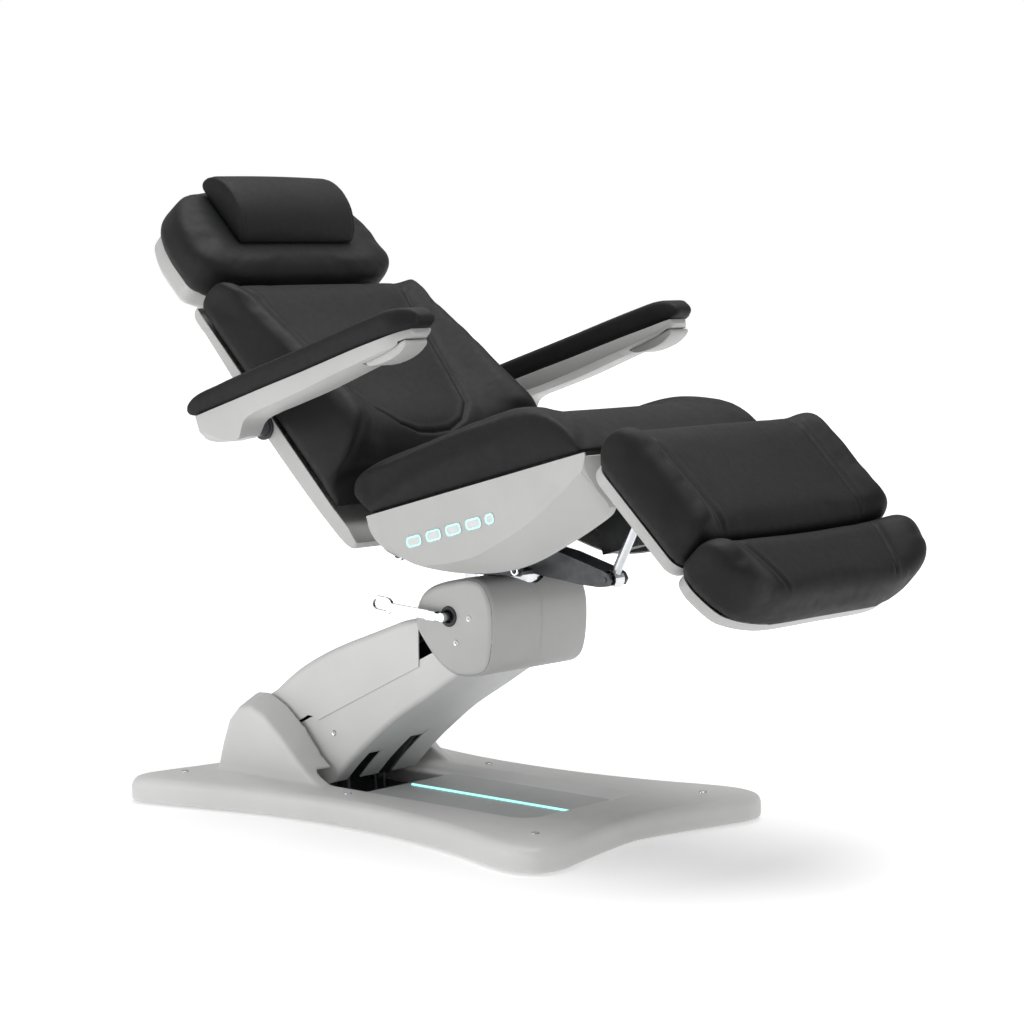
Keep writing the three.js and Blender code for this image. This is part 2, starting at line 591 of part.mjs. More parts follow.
function buildSeat() {
  add(bed, 'turntable', buildTurntable(), DARK_STEEL);
  const seat = sideFrame(SEAT_PIVOT, SEAT_ANGLE);
  add(seat, 'seat_frame', buildSeatFrame(), DARK_STEEL);
  add(seat, 'back_hinge_rod', crossBar(BACK_PIVOT_SEAT, 8, -150, 150), CHROME);
  add(seat, 'leg_hinge_rod', crossBar(LEG_PIVOT_SEAT, 8, -150, 150), CHROME);
  add(seat, 'seat_shell', buildSeatShell(), SHELL);
  add(seat, 'seat_cushion', acrossBoth(SEAT_CUSHION_SIDE, SEAT_HALF, 10, 2), LEATHER);
  BUTTONS_SEAT.forEach(([u, v, halfLength, halfHeight], i) => {
    const key = slab(outline([[-halfLength, -halfHeight], [halfLength, -halfHeight],
      [halfLength, halfHeight], [-halfLength, halfHeight]]), 296.6, 300, 0);
    key.rotateX(Math.PI / 2).translate(u, 0, v);
    add(seat, `seat_button_${i + 1}`, key, BUTTON);
  });
  add(seat, 'control_box', box(196, 288, 38, 98, -64, 4.5), BLACK_PLASTIC);
  const motorCover = across([[98, 4.5], [98, -24], [178, -27], [190, -18], [192, 4.5]], -76, -36, 6, 1);
  add(seat, 'gearmotor_cover', motorCover, DARK_STEEL);
}

function buildSeatActuators() {
  const tiltTop = toWorld(SEAT_PIVOT, SEAT_ANGLE, TILT_MOTOR_SEAT);
  const gasTop = toWorld(SEAT_PIVOT, SEAT_ANGLE, GAS_TUBE_SEAT);
  add(bed, 'tilt_motor', motorSolid(tiltTop, TILT_ROD_PIN, 0, { eye: 14, tube: 15, reach: 132 }),
    BLACK_PLASTIC);
  add(bed, 'tilt_rod', rodSolid(tiltTop, TILT_ROD_PIN, 0, { radius: 9.5, eye: 18, hole: 12.5,
    from: 106, halfWidth: 14 }), CHROME);
  add(bed, 'gas_tube', motorSolid(gasTop, GAS_ROD_PIN, GAS_Y, { eye: 9, tube: 9, reach: 120 }),
    BLACK_PLASTIC);
  add(bed, 'gas_rod', rodSolid(gasTop, GAS_ROD_PIN, GAS_Y, { radius: 4, eye: 9, hole: 6,
    from: 70, halfWidth: 3 }), CHROME);
}

// ---------------------------------------------------------------- back and headrest

const BACK_CRANK = 70;
const LEG_CRANK = 60;

function buildSlottedRod(fromU, pinU, v, y) {
  const slotCentre = v + 9;
  const bar = sideBar([fromU, v], [pinU > fromU ? pinU - 12 : pinU + 12, v], y, 8);
  const plate = linkBar([pinU, v - 8], [pinU, slotCentre + 16], 14.5, y - 5, y + 5);
  const slot = linkBar([pinU, v - 8], [pinU, slotCentre + 16], 9.6, y - 9, y + 9);
  return cut(join(bar, plate), slot);
}

const BACK_PAD_SIDE = [
  [45, -29.6], [51, -12], [76, 3], [97, 34], [114, 53], [150, 60], [300, 62], [450, 61], [560, 57],
  [598, 44], [609, 15], [603, -16], [592, -29.6],
];
const BACK_SHELL_SIDE = [
  [-34, -32], [-38, -45], [-20, -56], [60, -65], [170, -69], [300, -69], [420, -58], [540, -52],
  [592, -50], [603, -40], [603, -30.2], [45, -30.2], [0, -27],
];

// In the back's own frame x runs from the hinge to the head and z points out of the cushion,
// so the frame is the side frame turned by 135 degrees and mirrored across the bed.
function backFrame() {
  const [x, z] = toWorld(SEAT_PIVOT, SEAT_ANGLE, BACK_PIVOT_SEAT);
  const frame = new THREE.Group();
  frame.position.set(x, 0, z);
  frame.rotation.order = 'ZYX';
  frame.rotation.z = Math.PI;
  frame.rotation.y = -rad(BACK_ANGLE);
  bed.add(frame);
  return frame;
}

function buildBackFrame() {
  const both = (points, y0, y1) => [across(points, y0, y1), across(points, -y1, -y0)];
  const rail = both([[24, -55], [170, -60], [300, -58], [500, -47], [500, -33], [24, -33]], 128, 140);
  const arm = both([[-10, -9], [-13, 2], [-8, 10], [0, 13], [10, 9], [40, -32], [60, -36],
    [60, -54], [14, -54]], 128, 136);
  const beams = [box(64, 80, -129, 129, -54, -36), box(290, 306, -129, 129, -52, -36),
    box(430, 446, -129, 129, -50, -32.5), box(484, 500, -129, 129, -47.8, -32.5)];
  const crankAngle = rad(180 - BACK_ANGLE - SEAT_ANGLE + 107.75);
  const crank = crankPlate(BACK_CRANK, crankAngle, 153, 158);
  const crankArm = [box(14, 40, 134, 158, -54, -36)];
  const sideBoss = both([[284, -62], [312, -62], [312, -38], [284, -38]], 139, 284);
  const body = join(...rail, ...arm, ...beams, crank, ...crankArm, ...sideBoss);
  return cut(body, crossBar([0, 0], 8.6, -170, 170), sideBar([420, POST_Z], [620, POST_Z], 80, 6),
    sideBar([420, POST_Z], [620, POST_Z], -80, 6));
}

function crankPlate(radius, angle, y0, y1) {
  const tip = [radius * Math.cos(angle), radius * Math.sin(angle)];
  return join(linkBar([22, -45], tip, 9, y0, y1), crossBar(tip, 6.5, y0, 177));
}

function buildBackShell() {
  const outer = acrossBoth(BACK_SHELL_SIDE, BACK_HALF + 1, 3, 1);
  const inner = acrossBoth([[-30, -20], [-33, -44], [-18, -52], [61, -61], [170, -65], [300, -65],
    [420, -54], [540, -48], [588, -46], [597, -20]], BACK_HALF - 3);
  const hinge = box(-50, 22, -180, 180, -80, 20);
  const posts = [sideBar([560, POST_Z], [640, POST_Z], 80, 6.5),
    sideBar([560, POST_Z], [640, POST_Z], -80, 6.5)];
  const armHoles = crossBar(ARM_PIVOT_BACK, 10.5, -320, 320);
  return cut(outer, inner, hinge, ...posts, armHoles);
}

function roundedPad(x0, x1, half, radii, low, high, bevel, segments = 2) {
  return slab(roundedRectangle(x0, x1, half, radii), low, high, bevel, segments);
}

// The head pad's plan, broad beside the shoulders and narrower at the crown.
function headOutline(inset) {
  const half = HEAD_HALF - inset;
  const low = 616 + inset;
  const top = 885 - inset;
  const shape = new THREE.Shape();
  shape.moveTo(low, -half + 80);
  shape.quadraticCurveTo(low + 6, -half + 14, low + 50, -half + 6);
  shape.quadraticCurveTo(700, -half, 740, -half);
  shape.quadraticCurveTo(top - 60, -half + 12, top - 14, -half + 92);
  shape.quadraticCurveTo(top, -half + 120, top, -half + 170);
  shape.lineTo(top, half - 170);
  shape.quadraticCurveTo(top, half - 120, top - 14, half - 92);
  shape.quadraticCurveTo(top - 60, half - 12, 740, half);
  shape.quadraticCurveTo(700, half, low + 50, half - 6);
  shape.quadraticCurveTo(low + 6, half - 14, low, half - 80);
  return shape;
}

function buildHeadrest(frame) {
  const [hs, ht] = HEAD_PIVOT_BACK;
  const posts = [sideBar([400, POST_Z], [632, POST_Z], 80, 5.4),
    sideBar([400, POST_Z], [632, POST_Z], -80, 5.4)];
  const bar = crossBar([hs, ht], 9, -104, 104);
  const saddles = [box(626, 640, -90, -70, -52, -36), box(626, 640, 70, 90, -52, -36)];
  add(frame, 'head_posts', join(bar, ...posts, ...saddles), CHROME);
  const plate = box(664, 800, -120, 120, -62, -56);
  const ears = [box(646, 680, -120, -108, -62, -40), box(646, 680, 108, 120, -62, -40)];
  const eyes = [crossBar([hs, ht], 13, -120, -108), crossBar([hs, ht], 13, 108, 120)];
  add(frame, 'head_plate', join(plate, ...ears, ...eyes), DARK_STEEL);
  const shellOuter = slab(headOutline(3), -84, -34.4, 16, 2);
  const shellInner = slab(headOutline(8), -79, -20, 12, 1);
  add(frame, 'head_shell', cut(shellOuter, shellInner, box(600, 664, -130, 130, -70, -30)), SHELL);
  add(frame, 'head_cushion', slab(headOutline(0), -34, 62, 24, 2), LEATHER);
  const pillow = [[690, 62.6], [704, 86], [728, 108], [760, 122], [795, 126], [830, 118],
    [856, 98], [868, 72], [862, 62.6]];
  add(frame, 'pillow', acrossBoth(pillow, 166, 8, 2), LEATHER);
}

// A raised bolster along each side, whose inner slope runs down to the flat middle.
function winged(middle, side, halfWidth, crest, slopeEnd, crestHeight, middleHeight) {
  const section = [[-halfWidth, -60], [-halfWidth, crestHeight], [-crest, crestHeight],
    [-slopeEnd, middleHeight], [slopeEnd, middleHeight], [crest, crestHeight],
    [halfWidth, crestHeight], [halfWidth, -60]];
  return join(middle, meet(acrossBoth(side, halfWidth), along(section, -100, 700)));
}

const BACK_WING_SIDE = [
  [45, -29.6], [51, -12], [76, 3], [97, 34], [103, 60], [105, 98], [118, 119], [150, 128],
  [259, 120], [369, 107], [493, 83], [560, 70], [598, 50], [609, 15], [603, -16], [592, -29.6],
];

function buildBack() {
  const back = backFrame();
  add(back, 'back_frame', buildBackFrame(), DARK_STEEL);
  add(back, 'back_shell', buildBackShell(), SHELL);
  add(back, 'back_cushion', winged(acrossBoth(BACK_PAD_SIDE, BACK_HALF, 9, 2), BACK_WING_SIDE, BACK_HALF,
    266, 182, 131, 59), LEATHER);
  buildHeadrest(back);
}

// ---------------------------------------------------------------- leg and foot rests

function buildLegFrame() {
  const both = (points, y0, y1) => [across(points, y0, y1), across(points, -y1, -y0)];
  const rail = both([[20, -12], [246, -12], [246, 2], [20, 2]], 128, 146);
  const arm = both([[-10, -8], [-12, 3], [-7, 10], [0, 12.5], [9, 8], [30, 2], [30, -12], [6, -12]],
    128, 136);
  const beams = [box(30, 44, -129, 129, -12, -8), box(230, 244, -129, 129, -12, -8)];
  const crankAngle = rad(-101 + (SEAT_ANGLE - LEG_ANGLE));
  const tip = [LEG_CRANK * Math.cos(crankAngle), LEG_CRANK * Math.sin(crankAngle)];
  const crank = join(linkBar([26, -6], tip, 8, 153, 158), crossBar(tip, 6, 153, 177));
  const crankArm = box(22, 40, 140, 158, -12, 0);
  return cut(join(...rail, ...arm, ...beams, crank, crankArm), crossBar([0, 0], 8.6, -170, 170));
}

function buildLegShell() {
  const outer = roundedPad(0, 262, LEG_HALF, [30, 34], -18, 9.6, 12, 2);
  const inner = roundedPad(4, 258, LEG_HALF - 4, [26, 30], -14, 30, 9, 1);
  const hinge = box(-10, 19, -176, 176, -30, 20);
  const slides = [box(250, 270, 97, 115, -9, 5), box(250, 270, -115, -97, -9, 5)];
  const crankRoom = box(-10, 62, 148, 184, -30, 20);
  return cut(outer, inner, hinge, crankRoom, ...slides);
}

function buildFootFrame() {
  const bar = (y) => box(60, 400, y - 7, y + 7, -7.4, 3);
  const beams = [box(290, 310, -105, 105, -7.4, 3), box(380, 400, -105, 105, -7.4, 3)];
  return join(bar(106), bar(-106), ...beams);
}

function footOutline(inset) {
  const half = FOOT_HALF - inset;
  const end = 413 - inset;
  const shape = new THREE.Shape();
  shape.absarc(264.8 + inset + 26, -half + 26, 26, Math.PI, 1.5 * Math.PI, false);
  shape.quadraticCurveTo(end - 22, -half, end - 9, -half + 62);
  shape.quadraticCurveTo(end, -half + 90, end, -half + 128);
  shape.lineTo(end, half - 128);
  shape.quadraticCurveTo(end, half - 90, end - 9, half - 62);
  shape.quadraticCurveTo(end - 22, half, 264.8 + inset + 26, half);
  shape.absarc(264.8 + inset + 26, half - 26, 26, Math.PI / 2, Math.PI, false);
  return shape;
}

const LEG_PAD_SIDE = [
  [18, 10], [12, 18], [6, 28], [-2, 47], [-11, 68], [-9, 86], [2, 97], [30, 102], [238, 102], [256, 96],
  [262, 82], [262, 18], [256, 10],
];
const LEG_WING_SIDE = [
  [18, 10], [12, 18], [6, 28], [-2, 47], [-11, 68], [-10, 90], [0, 105], [18, 117], [42, 126], [110, 132],
  [190, 130], [244, 122], [260, 108], [262, 84], [262, 18], [256, 10],
];
const FOOT_PAD_SIDE = [
  [270, 10], [265, 20], [265, 84], [272, 98], [288, 103], [376, 103], [400, 94], [411, 76],
  [412, 30], [404, 10],
];
const FOOT_WING_SIDE = [
  [270, 10], [265, 20], [265, 84], [270, 106], [284, 121], [304, 130], [362, 130], [390, 119],
  [406, 96], [412, 60], [412, 30], [404, 10],
];

function buildLeg() {
  const pivot = toWorld(SEAT_PIVOT, SEAT_ANGLE, LEG_PIVOT_SEAT);
  const leg = sideFrame(pivot, LEG_ANGLE);
  add(leg, 'leg_frame', buildLegFrame(), DARK_STEEL);
  add(leg, 'leg_shell', buildLegShell(), SHELL);
  const legPad = winged(acrossBoth(LEG_PAD_SIDE, LEG_HALF - 0.2, 8, 1), LEG_WING_SIDE, LEG_HALF, 266, 226,
    134, 101);
  add(leg, 'leg_cushion', meet(legPad, roundedPad(-24, 263, LEG_HALF, [34, 34], 5, 150, 0)), LEATHER);
  add(leg, 'foot_frame', buildFootFrame(), DARK_STEEL);
  const footShell = cut(slab(footOutline(2), -16, 9.6, 10, 2), slab(footOutline(6), -12, 30, 8, 1),
    box(250, 290, 97, 115, -9, 5), box(250, 290, -115, -97, -9, 5));
  add(leg, 'foot_shell', footShell, SHELL);
  const footPad = winged(acrossBoth(FOOT_PAD_SIDE, FOOT_HALF - 0.2, 8, 1), FOOT_WING_SIDE, FOOT_HALF, 266,
    208, 134, 102);
  add(leg, 'foot_cushion', meet(footPad, slab(footOutline(0), 5, 150, 0)), LEATHER);
}

// Actuators that lie inside the seat, one to the back's crank and one to the leg's crank.
function buildInnerActuators() {
  const seat = sideFrame(SEAT_PIVOT, SEAT_ANGLE);
  const backPin = crankPin(BACK_PIVOT_SEAT, BACK_CRANK, -107.75);
  const legPin = crankPin(LEG_PIVOT_SEAT, LEG_CRANK, -101);
  const backMotor = motorSolid([BACK_MOTOR_SEAT[0], backPin[1]], [backPin[0], backPin[1]],
    BACK_ACTUATOR_Y, { eye: 12, tube: 14, reach: 150 });
  const legMotor = motorSolid([LEG_MOTOR_SEAT[0], legPin[1]], [legPin[0], legPin[1]],
    LEG_ACTUATOR_Y, { eye: 12, tube: 14, reach: 170 });
  add(seat, 'back_motor', backMotor, BLACK_PLASTIC);
  add(seat, 'back_rod', buildSlottedRod(35, backPin[0], backPin[1], BACK_ACTUATOR_Y), CHROME);
  add(seat, 'leg_motor', legMotor, BLACK_PLASTIC);
  add(seat, 'leg_rod', buildSlottedRod(240, legPin[0], legPin[1], LEG_ACTUATOR_Y), CHROME);
}

function crankPin([u, v], radius, degrees) {
  return [u + radius * Math.cos(rad(degrees)), v + radius * Math.sin(rad(degrees))];
}

// ---------------------------------------------------------------- armrests

const ARM_PAD_SIDE = [
  [-35, 56], [-35, 72], [-12, 85], [62, 86], [326, 77], [480, 70], [545, 65], [566, 57], [578, 40],
  [580, 25], [565, 21.4], [510, 23], [444, 26.6], [306, 31.6], [170, 37.6], [71, 42.6], [-24, 47],
];
const ARM_SHELL_SIDE = [
  [-12, 45.6], [-14, 8], [-5, -7], [22, -23], [54, -31], [70, -35], [86, -37], [96, -30], [108, -16],
  [126, -9], [300, -9], [433, -9], [550, -9], [564, -4], [572, 8], [570, 20.6], [510, 22.3],
  [444, 25.9], [306, 30.9], [170, 36.9], [71, 41.9],
];

function buildArm(side) {
  const arm = new THREE.Group();
  arm.position.set(ARM_ORIGIN[0], 0, ARM_ORIGIN[1]);
  arm.rotation.y = -rad(ARM_ANGLE);
  bed.add(arm);
  const name = side < 0 ? 'right' : 'left';
  const place = (geometry) => (side < 0 ? mirrorY(geometry) : geometry);
  const shellOuter = across(ARM_SHELL_SIDE, ARM_INNER_Y, ARM_OUTER_Y, 3, 1);
  const shellInner = across([[-8, 70], [-9.5, 9], [-2, -4], [23, -18.5], [55, -26.5], [71, -30.5], [83, -31.5], [92, -26],
    [105, -11], [125, -5], [300, -5], [550, -5], [560, -1], [567, 10], [565, 70]], ARM_INNER_Y + 4,
    ARM_OUTER_Y - 4);
  const bolt = crossBar(ARM_PIVOT_LOCAL, 10.3, ARM_INNER_Y - 10, ARM_INNER_Y + 10);
  const paddleRoom = box(446, 563, ARM_INNER_Y + 12, ARM_OUTER_Y - 12, -30, 4);
  add(arm, `arm_shell_${name}`, place(cut(shellOuter, shellInner, bolt, paddleRoom)), SHELL);
  add(arm, `arm_pad_${name}`, place(across(ARM_PAD_SIDE, ARM_INNER_Y - 2, ARM_OUTER_Y + 2, 7, 2)),
    LEATHER);
  const paddleSide = [[449, 3], [450, -10], [470, -17], [500, -20], [530, -18], [549, -12], [560, -5],
    [560, 3]];
  add(arm, `arm_release_${name}`, place(across(paddleSide, ARM_INNER_Y + 13, ARM_OUTER_Y - 13, 3, 1)),
    SHELL_GREY);
  const [px, pz] = ARM_PIVOT_LOCAL;
  const pivot = join(crossBar([px, pz], 9.5, BACK_HALF - 5, ARM_INNER_Y + 9),
    crossBar([px, pz], 13, ARM_INNER_Y + 4.6, ARM_INNER_Y + 9),
    crossBar([px, pz], 20, BACK_HALF + 2, BACK_HALF + 34));
  add(arm, `arm_pivot_${name}`, place(pivot), DARK_STEEL);
}

buildBase();
buildLiftLinkage();
buildPod();
buildSeat();
buildSeatActuators();
buildBack();
buildLeg();
buildInnerActuators();
buildArm(1);
buildArm(-1);

export default bed;
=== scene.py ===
"""Facial treatment bed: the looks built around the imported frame. Metres, +X to the feet, +Z up."""

import json
import math

import bmesh
import bpy
import numpy as np
from mathutils import Matrix, Vector


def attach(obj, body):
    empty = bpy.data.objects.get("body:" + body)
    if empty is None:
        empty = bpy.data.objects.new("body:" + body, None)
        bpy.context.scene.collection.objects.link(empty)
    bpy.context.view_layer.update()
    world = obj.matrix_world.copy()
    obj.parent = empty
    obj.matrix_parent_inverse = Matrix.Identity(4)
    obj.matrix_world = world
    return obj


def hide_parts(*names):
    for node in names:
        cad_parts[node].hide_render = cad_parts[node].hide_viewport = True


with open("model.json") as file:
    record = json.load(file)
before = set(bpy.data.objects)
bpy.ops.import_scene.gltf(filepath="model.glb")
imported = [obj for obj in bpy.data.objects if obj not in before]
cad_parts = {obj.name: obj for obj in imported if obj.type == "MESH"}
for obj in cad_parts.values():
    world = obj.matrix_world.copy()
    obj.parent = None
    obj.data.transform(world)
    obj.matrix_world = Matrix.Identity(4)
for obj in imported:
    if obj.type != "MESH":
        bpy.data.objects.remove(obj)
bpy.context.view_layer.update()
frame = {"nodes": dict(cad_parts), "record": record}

# ------------------------------------------------------------------ dimensions, in millimetres

MM = 0.001
SEAT_ORIGIN, SEAT_ANGLE = (180, 560), 15.5
BACK_HINGE, BACK_ANGLE = (-128, 100), 45
LEG_HINGE, LEG_ANGLE = (484, 70), -43.5
ARM_ORIGIN, ARM_ANGLE = (-229, 782), 20.8
BACK_HALF, HEAD_HALF, LEG_HALF, FOOT_HALF = 290, 280, 297, 301
POD_HALF = 150
COLUMN_HALF = 132.4
ARM_INNER, ARM_OUTER = 356, 446
ARM_MIDDLE = (ARM_INNER + ARM_OUTER) / 2

# ------------------------------------------------------------------ frames of the side view


class Side:
    """A tilted frame of the side view: along, across and up, in millimetres."""

    def __init__(self, origin, angle, flip=1):
        self.origin = origin
        self.cos = math.cos(math.radians(angle)) * flip
        self.sin = math.sin(math.radians(angle))
        self.flip = flip

    def __call__(self, a, y, b):
        """The point of the row frame, in metres."""
        x = self.origin[0] + a * self.cos - self.flip * b * self.sin
        return Vector((x, y, self.origin[1] + a * self.sin + b * self.cos * self.flip)) * MM

    def local(self, co):
        """Along, across and up of an array of points of the row frame."""
        x, y, z = co[:, 0] / MM - self.origin[0], co[:, 1] / MM, co[:, 2] / MM - self.origin[1]
        return x * self.cos + z * self.sin, y, self.flip * (z * self.cos - x * self.sin)

    def world(self, a, y, b):
        """The reverse of local."""
        x = self.origin[0] + a * self.cos - self.flip * b * self.sin
        z = self.origin[1] + a * self.sin + self.flip * b * self.cos
        return np.stack([x, y, z], axis=1) * MM


def in_seat(point):
    p = Side(SEAT_ORIGIN, SEAT_ANGLE)(point[0], 0, point[1]) / MM
    return (p.x, p.z)


WORLD = Side((0, 0), 0)
SEAT = Side(SEAT_ORIGIN, SEAT_ANGLE)
BACK = Side(in_seat(BACK_HINGE), BACK_ANGLE, -1)
LEG = Side(in_seat(LEG_HINGE), LEG_ANGLE)
ARM = Side(ARM_ORIGIN, ARM_ANGLE)

# ------------------------------------------------------------------ materials


class Nodes:
    """A material's node tree, with short ways to add and link nodes."""

    def __init__(self, name):
        self.material = bpy.data.materials.new(name)
        self.material.use_nodes = True
        self.tree = self.material.node_tree
        self.bsdf = self.tree.nodes["Principled BSDF"]
        self.coord = self.tree.nodes.new("ShaderNodeTexCoord").outputs["Object"]

    def add(self, kind, inputs=(), **settings):
        node = self.tree.nodes.new("ShaderNode" + kind)
        for key, value in settings.items():
            setattr(node, key, value)
        for key, value in dict(inputs).items():
            if isinstance(value, bpy.types.NodeSocket):
                self.tree.links.new(value, node.inputs[key])
            else:
                node.inputs[key].default_value = value
        return node

    def noise(self, scale, detail=3.0, rough=0.5):
        inputs = {"Vector": self.coord, "Scale": scale, "Detail": detail, "Roughness": rough}
        return self.add("TexNoise", inputs).outputs["Fac"]

    def ramp(self, factor, low, high, from_min=0.3, from_max=0.7):
        inputs = {"Value": factor, "From Min": from_min, "From Max": from_max,
                  "To Min": low, "To Max": high}
        return self.add("MapRange", inputs).outputs["Result"]

    def mix(self, factor, a, b):
        node = self.add("Mix", data_type="RGBA")
        self.tree.links.new(factor, node.inputs["Factor"])
        node.inputs["A"].default_value = (*a, 1)
        node.inputs["B"].default_value = (*b, 1)
        return node.outputs["Result"]

    def set(self, name, value):
        if isinstance(value, bpy.types.NodeSocket):
            self.tree.links.new(value, self.bsdf.inputs[name])
        else:
            self.bsdf.inputs[name].default_value = value

    def bump(self, *layers):
        normal = None
        for height, distance, strength in layers:
            inputs = {"Height": height, "Distance": distance, "Strength": strength}
            node = self.add("Bump", inputs)
            if normal is not None:
                self.tree.links.new(normal, node.inputs["Normal"])
            normal = node.outputs["Normal"]
        self.set("Normal", normal)


def srgb(*values):
    return tuple(((v / 255 + 0.055) / 1.055) ** 2.4 for v in values)


def moulded_plastic(name, light, dark, roughness, coat=0.0):
    """Satin moulded plastic: a faint mottle, a fine spark-eroded texture and uneven gloss."""
    n = Nodes(name)
    cloud = n.noise(5.0, 4.0)
    n.set("Base Color", n.mix(n.ramp(cloud, 0.0, 1.0), dark, light))
    n.set("Roughness", n.ramp(n.noise(38.0, 3.0), roughness - 0.05, roughness + 0.06))
    n.set("Coat Weight", coat)
    n.set("Coat Roughness", 0.3)
    n.bump((n.noise(1400.0, 2.0), 0.0001, 0.22), (n.noise(14.0, 2.0), 0.0008, 0.10))
    return n.material


def leather(name, light, dark, roughness):
    """Fine-grained upholstery: pebbled cells, hairline creases and slightly polished high spots."""
    n = Nodes(name)
    cells = n.add("TexVoronoi", {"Vector": n.coord, "Scale": 620.0, "Randomness": 0.9},
                  feature="DISTANCE_TO_EDGE").outputs["Distance"]
    pores = n.noise(2300.0, 2.0)
    cloud = n.noise(7.0, 4.0, 0.6)
    crease = n.noise(60.0, 5.0, 0.65)
    n.set("Base Color", n.mix(n.ramp(cloud, 0.0, 1.0), dark, light))
    n.set("Roughness", n.ramp(crease, roughness - 0.05, roughness + 0.07))
    n.set("Specular IOR Level", 0.2)
    n.set("Sheen Weight", 0.02)
    n.set("Sheen Roughness", 0.45)
    grain = n.ramp(cells, 0.0, 1.0, 0.0, 0.12)
    n.bump((grain, 0.00025, 0.35), (pores, 0.0001, 0.2), (crease, 0.0012, 0.12))
    return n.material


def painted_steel(name, light, dark, roughness, metallic):
    """Powder-coated steel with an orange-peel surface and dust in the low spots."""
    n = Nodes(name)
    n.set("Base Color", n.mix(n.ramp(n.noise(22.0, 5.0), 0.0, 1.0), dark, light))
    n.set("Metallic", metallic)
    n.set("Roughness", n.ramp(n.noise(90.0, 3.0), roughness - 0.07, roughness + 0.08))
    n.bump((n.noise(700.0, 2.0), 0.0003, 0.25))
    return n.material


def polished_metal(name, light, dark, roughness):
    """Chromed steel with faint turning lines and fingerprints in the gloss."""
    n = Nodes(name)
    n.set("Base Color", n.mix(n.ramp(n.noise(30.0, 3.0), 0.0, 1.0), dark, light))
    n.set("Metallic", 1.0)
    n.set("Roughness", n.ramp(n.noise(55.0, 5.0), roughness, roughness + 0.16))
    n.bump((n.noise(900.0, 1.0), 0.0001, 0.08))
    return n.material


def lit_diffuser(name, color, strength):
    """A light strip behind a milky diffuser."""
    n = Nodes(name)
    glow = n.ramp(n.noise(90.0, 1.0), 0.85, 1.1)
    n.set("Base Color", n.mix(glow, color, color))
    n.set("Emission Color", (*color, 1))
    n.set("Emission Strength", strength)
    n.set("Roughness", n.ramp(n.noise(200.0, 2.0), 0.3, 0.4))
    return n.material


SHELL = moulded_plastic("shell", srgb(218, 218, 217), srgb(210, 210, 209), 0.42, 0.12)
# A darker copy of the shell plastic for the upper parts (pod, seat pan, rest trays, arm bodies and
# paddles): painted shade for the dimmer light these parts get.
PAINTED_SHADE_SHELL = moulded_plastic("shell_painted_shade", srgb(184, 184, 183), srgb(177, 177, 176), 0.44, 0.10)
SHELL_GREY = moulded_plastic("shell_grey", srgb(200, 201, 201), srgb(190, 191, 191), 0.5)
LEATHER = leather("upholstery", srgb(28, 28, 29), srgb(22, 22, 23), 0.56)
STEEL = painted_steel("frame_paint", srgb(92, 94, 97), srgb(70, 72, 75), 0.45, 0.35)
CHROME = polished_metal("bright_metal", srgb(222, 224, 226), srgb(196, 199, 203), 0.14)
BLACK = painted_steel("black_plastic", srgb(44, 45, 47), srgb(30, 31, 33), 0.5, 0.0)
KEY = moulded_plastic("keys", srgb(216, 219, 219), srgb(206, 209, 209), 0.35, 0.3)
GLOW = lit_diffuser("light", srgb(150, 240, 232), 1.6)
SLOT_MATERIALS = {"shell": SHELL, "shell_grey": SHELL_GREY, "upholstery": LEATHER,
                  "frame": STEEL, "black_plastic": BLACK, "bright_metal": CHROME,
                  "light": GLOW, "keys": KEY}

# ------------------------------------------------------------------ mesh helpers


def smooth_run(points, step):
    """A centripetal spline through points of any dimension, sampled about every step millimetres."""
    pts = [Vector(p) for p in points]
    pts = [2 * pts[0] - pts[1], *pts, 2 * pts[-1] - pts[-2]]
    out = []
    for p0, p1, p2, p3 in zip(pts, pts[1:], pts[2:], pts[3:]):
        t1 = max((p1 - p0).length, 1e-6) ** 0.5
        t2 = t1 + max((p2 - p1).length, 1e-6) ** 0.5
        t3 = t2 + max((p3 - p2).length, 1e-6) ** 0.5
        count = max(1, round((p2 - p1).length / step))
        for k in range(count):
            t = t1 + (t2 - t1) * k / count
            a1 = (t1 - t) / t1 * p0 + t / t1 * p1
            a2 = (t2 - t) / (t2 - t1) * p1 + (t - t1) / (t2 - t1) * p2
            a3 = (t3 - t) / (t3 - t2) * p2 + (t - t2) / (t3 - t2) * p3
            b1 = (t2 - t) / t2 * a1 + t / t2 * a2
            b2 = (t3 - t) / (t3 - t1) * a2 + (t - t1) / (t3 - t1) * a3
            out.append(tuple((t2 - t) / (t2 - t1) * b1 + (t - t1) / (t2 - t1) * b2))
    out.append(tuple(pts[-2]))
    return out


def smooth_loop(points, corners, step=8):
    """A closed outline, splined between the points whose indices are corners."""
    if not corners:
        extended = points[-2:] + points + points[:3]
        run = smooth_run(extended, step)
        start = min(range(len(run)), key=lambda i: math.dist(run[i], points[0]) + i * 1e-6)
        end = max(range(len(run)), key=lambda i: -math.dist(run[i], points[0]) + i * 1e-6)
        return run[start:end]
    order = sorted(corners)
    out = []
    for k, start in enumerate(order):
        stop = order[(k + 1) % len(order)]
        indices = [start]
        while indices[-1] != stop or len(indices) == 1:
            indices.append((indices[-1] + 1) % len(points))
        out += smooth_run([points[i] for i in indices], step)[:-1]
    return out


def new_object(name, mesh_or_bm, material, body=None):
    mesh = mesh_or_bm
    if isinstance(mesh_or_bm, bmesh.types.BMesh):
        mesh = bpy.data.meshes.new(name)
        bmesh.ops.recalc_face_normals(mesh_or_bm, faces=mesh_or_bm.faces)
        mesh_or_bm.to_mesh(mesh)
        mesh_or_bm.free()
    obj = bpy.data.objects.new(name, mesh)
    bpy.context.scene.collection.objects.link(obj)
    obj.data.materials.clear()
    obj.data.materials.append(material)
    if body:
        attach(obj, body)
    return obj


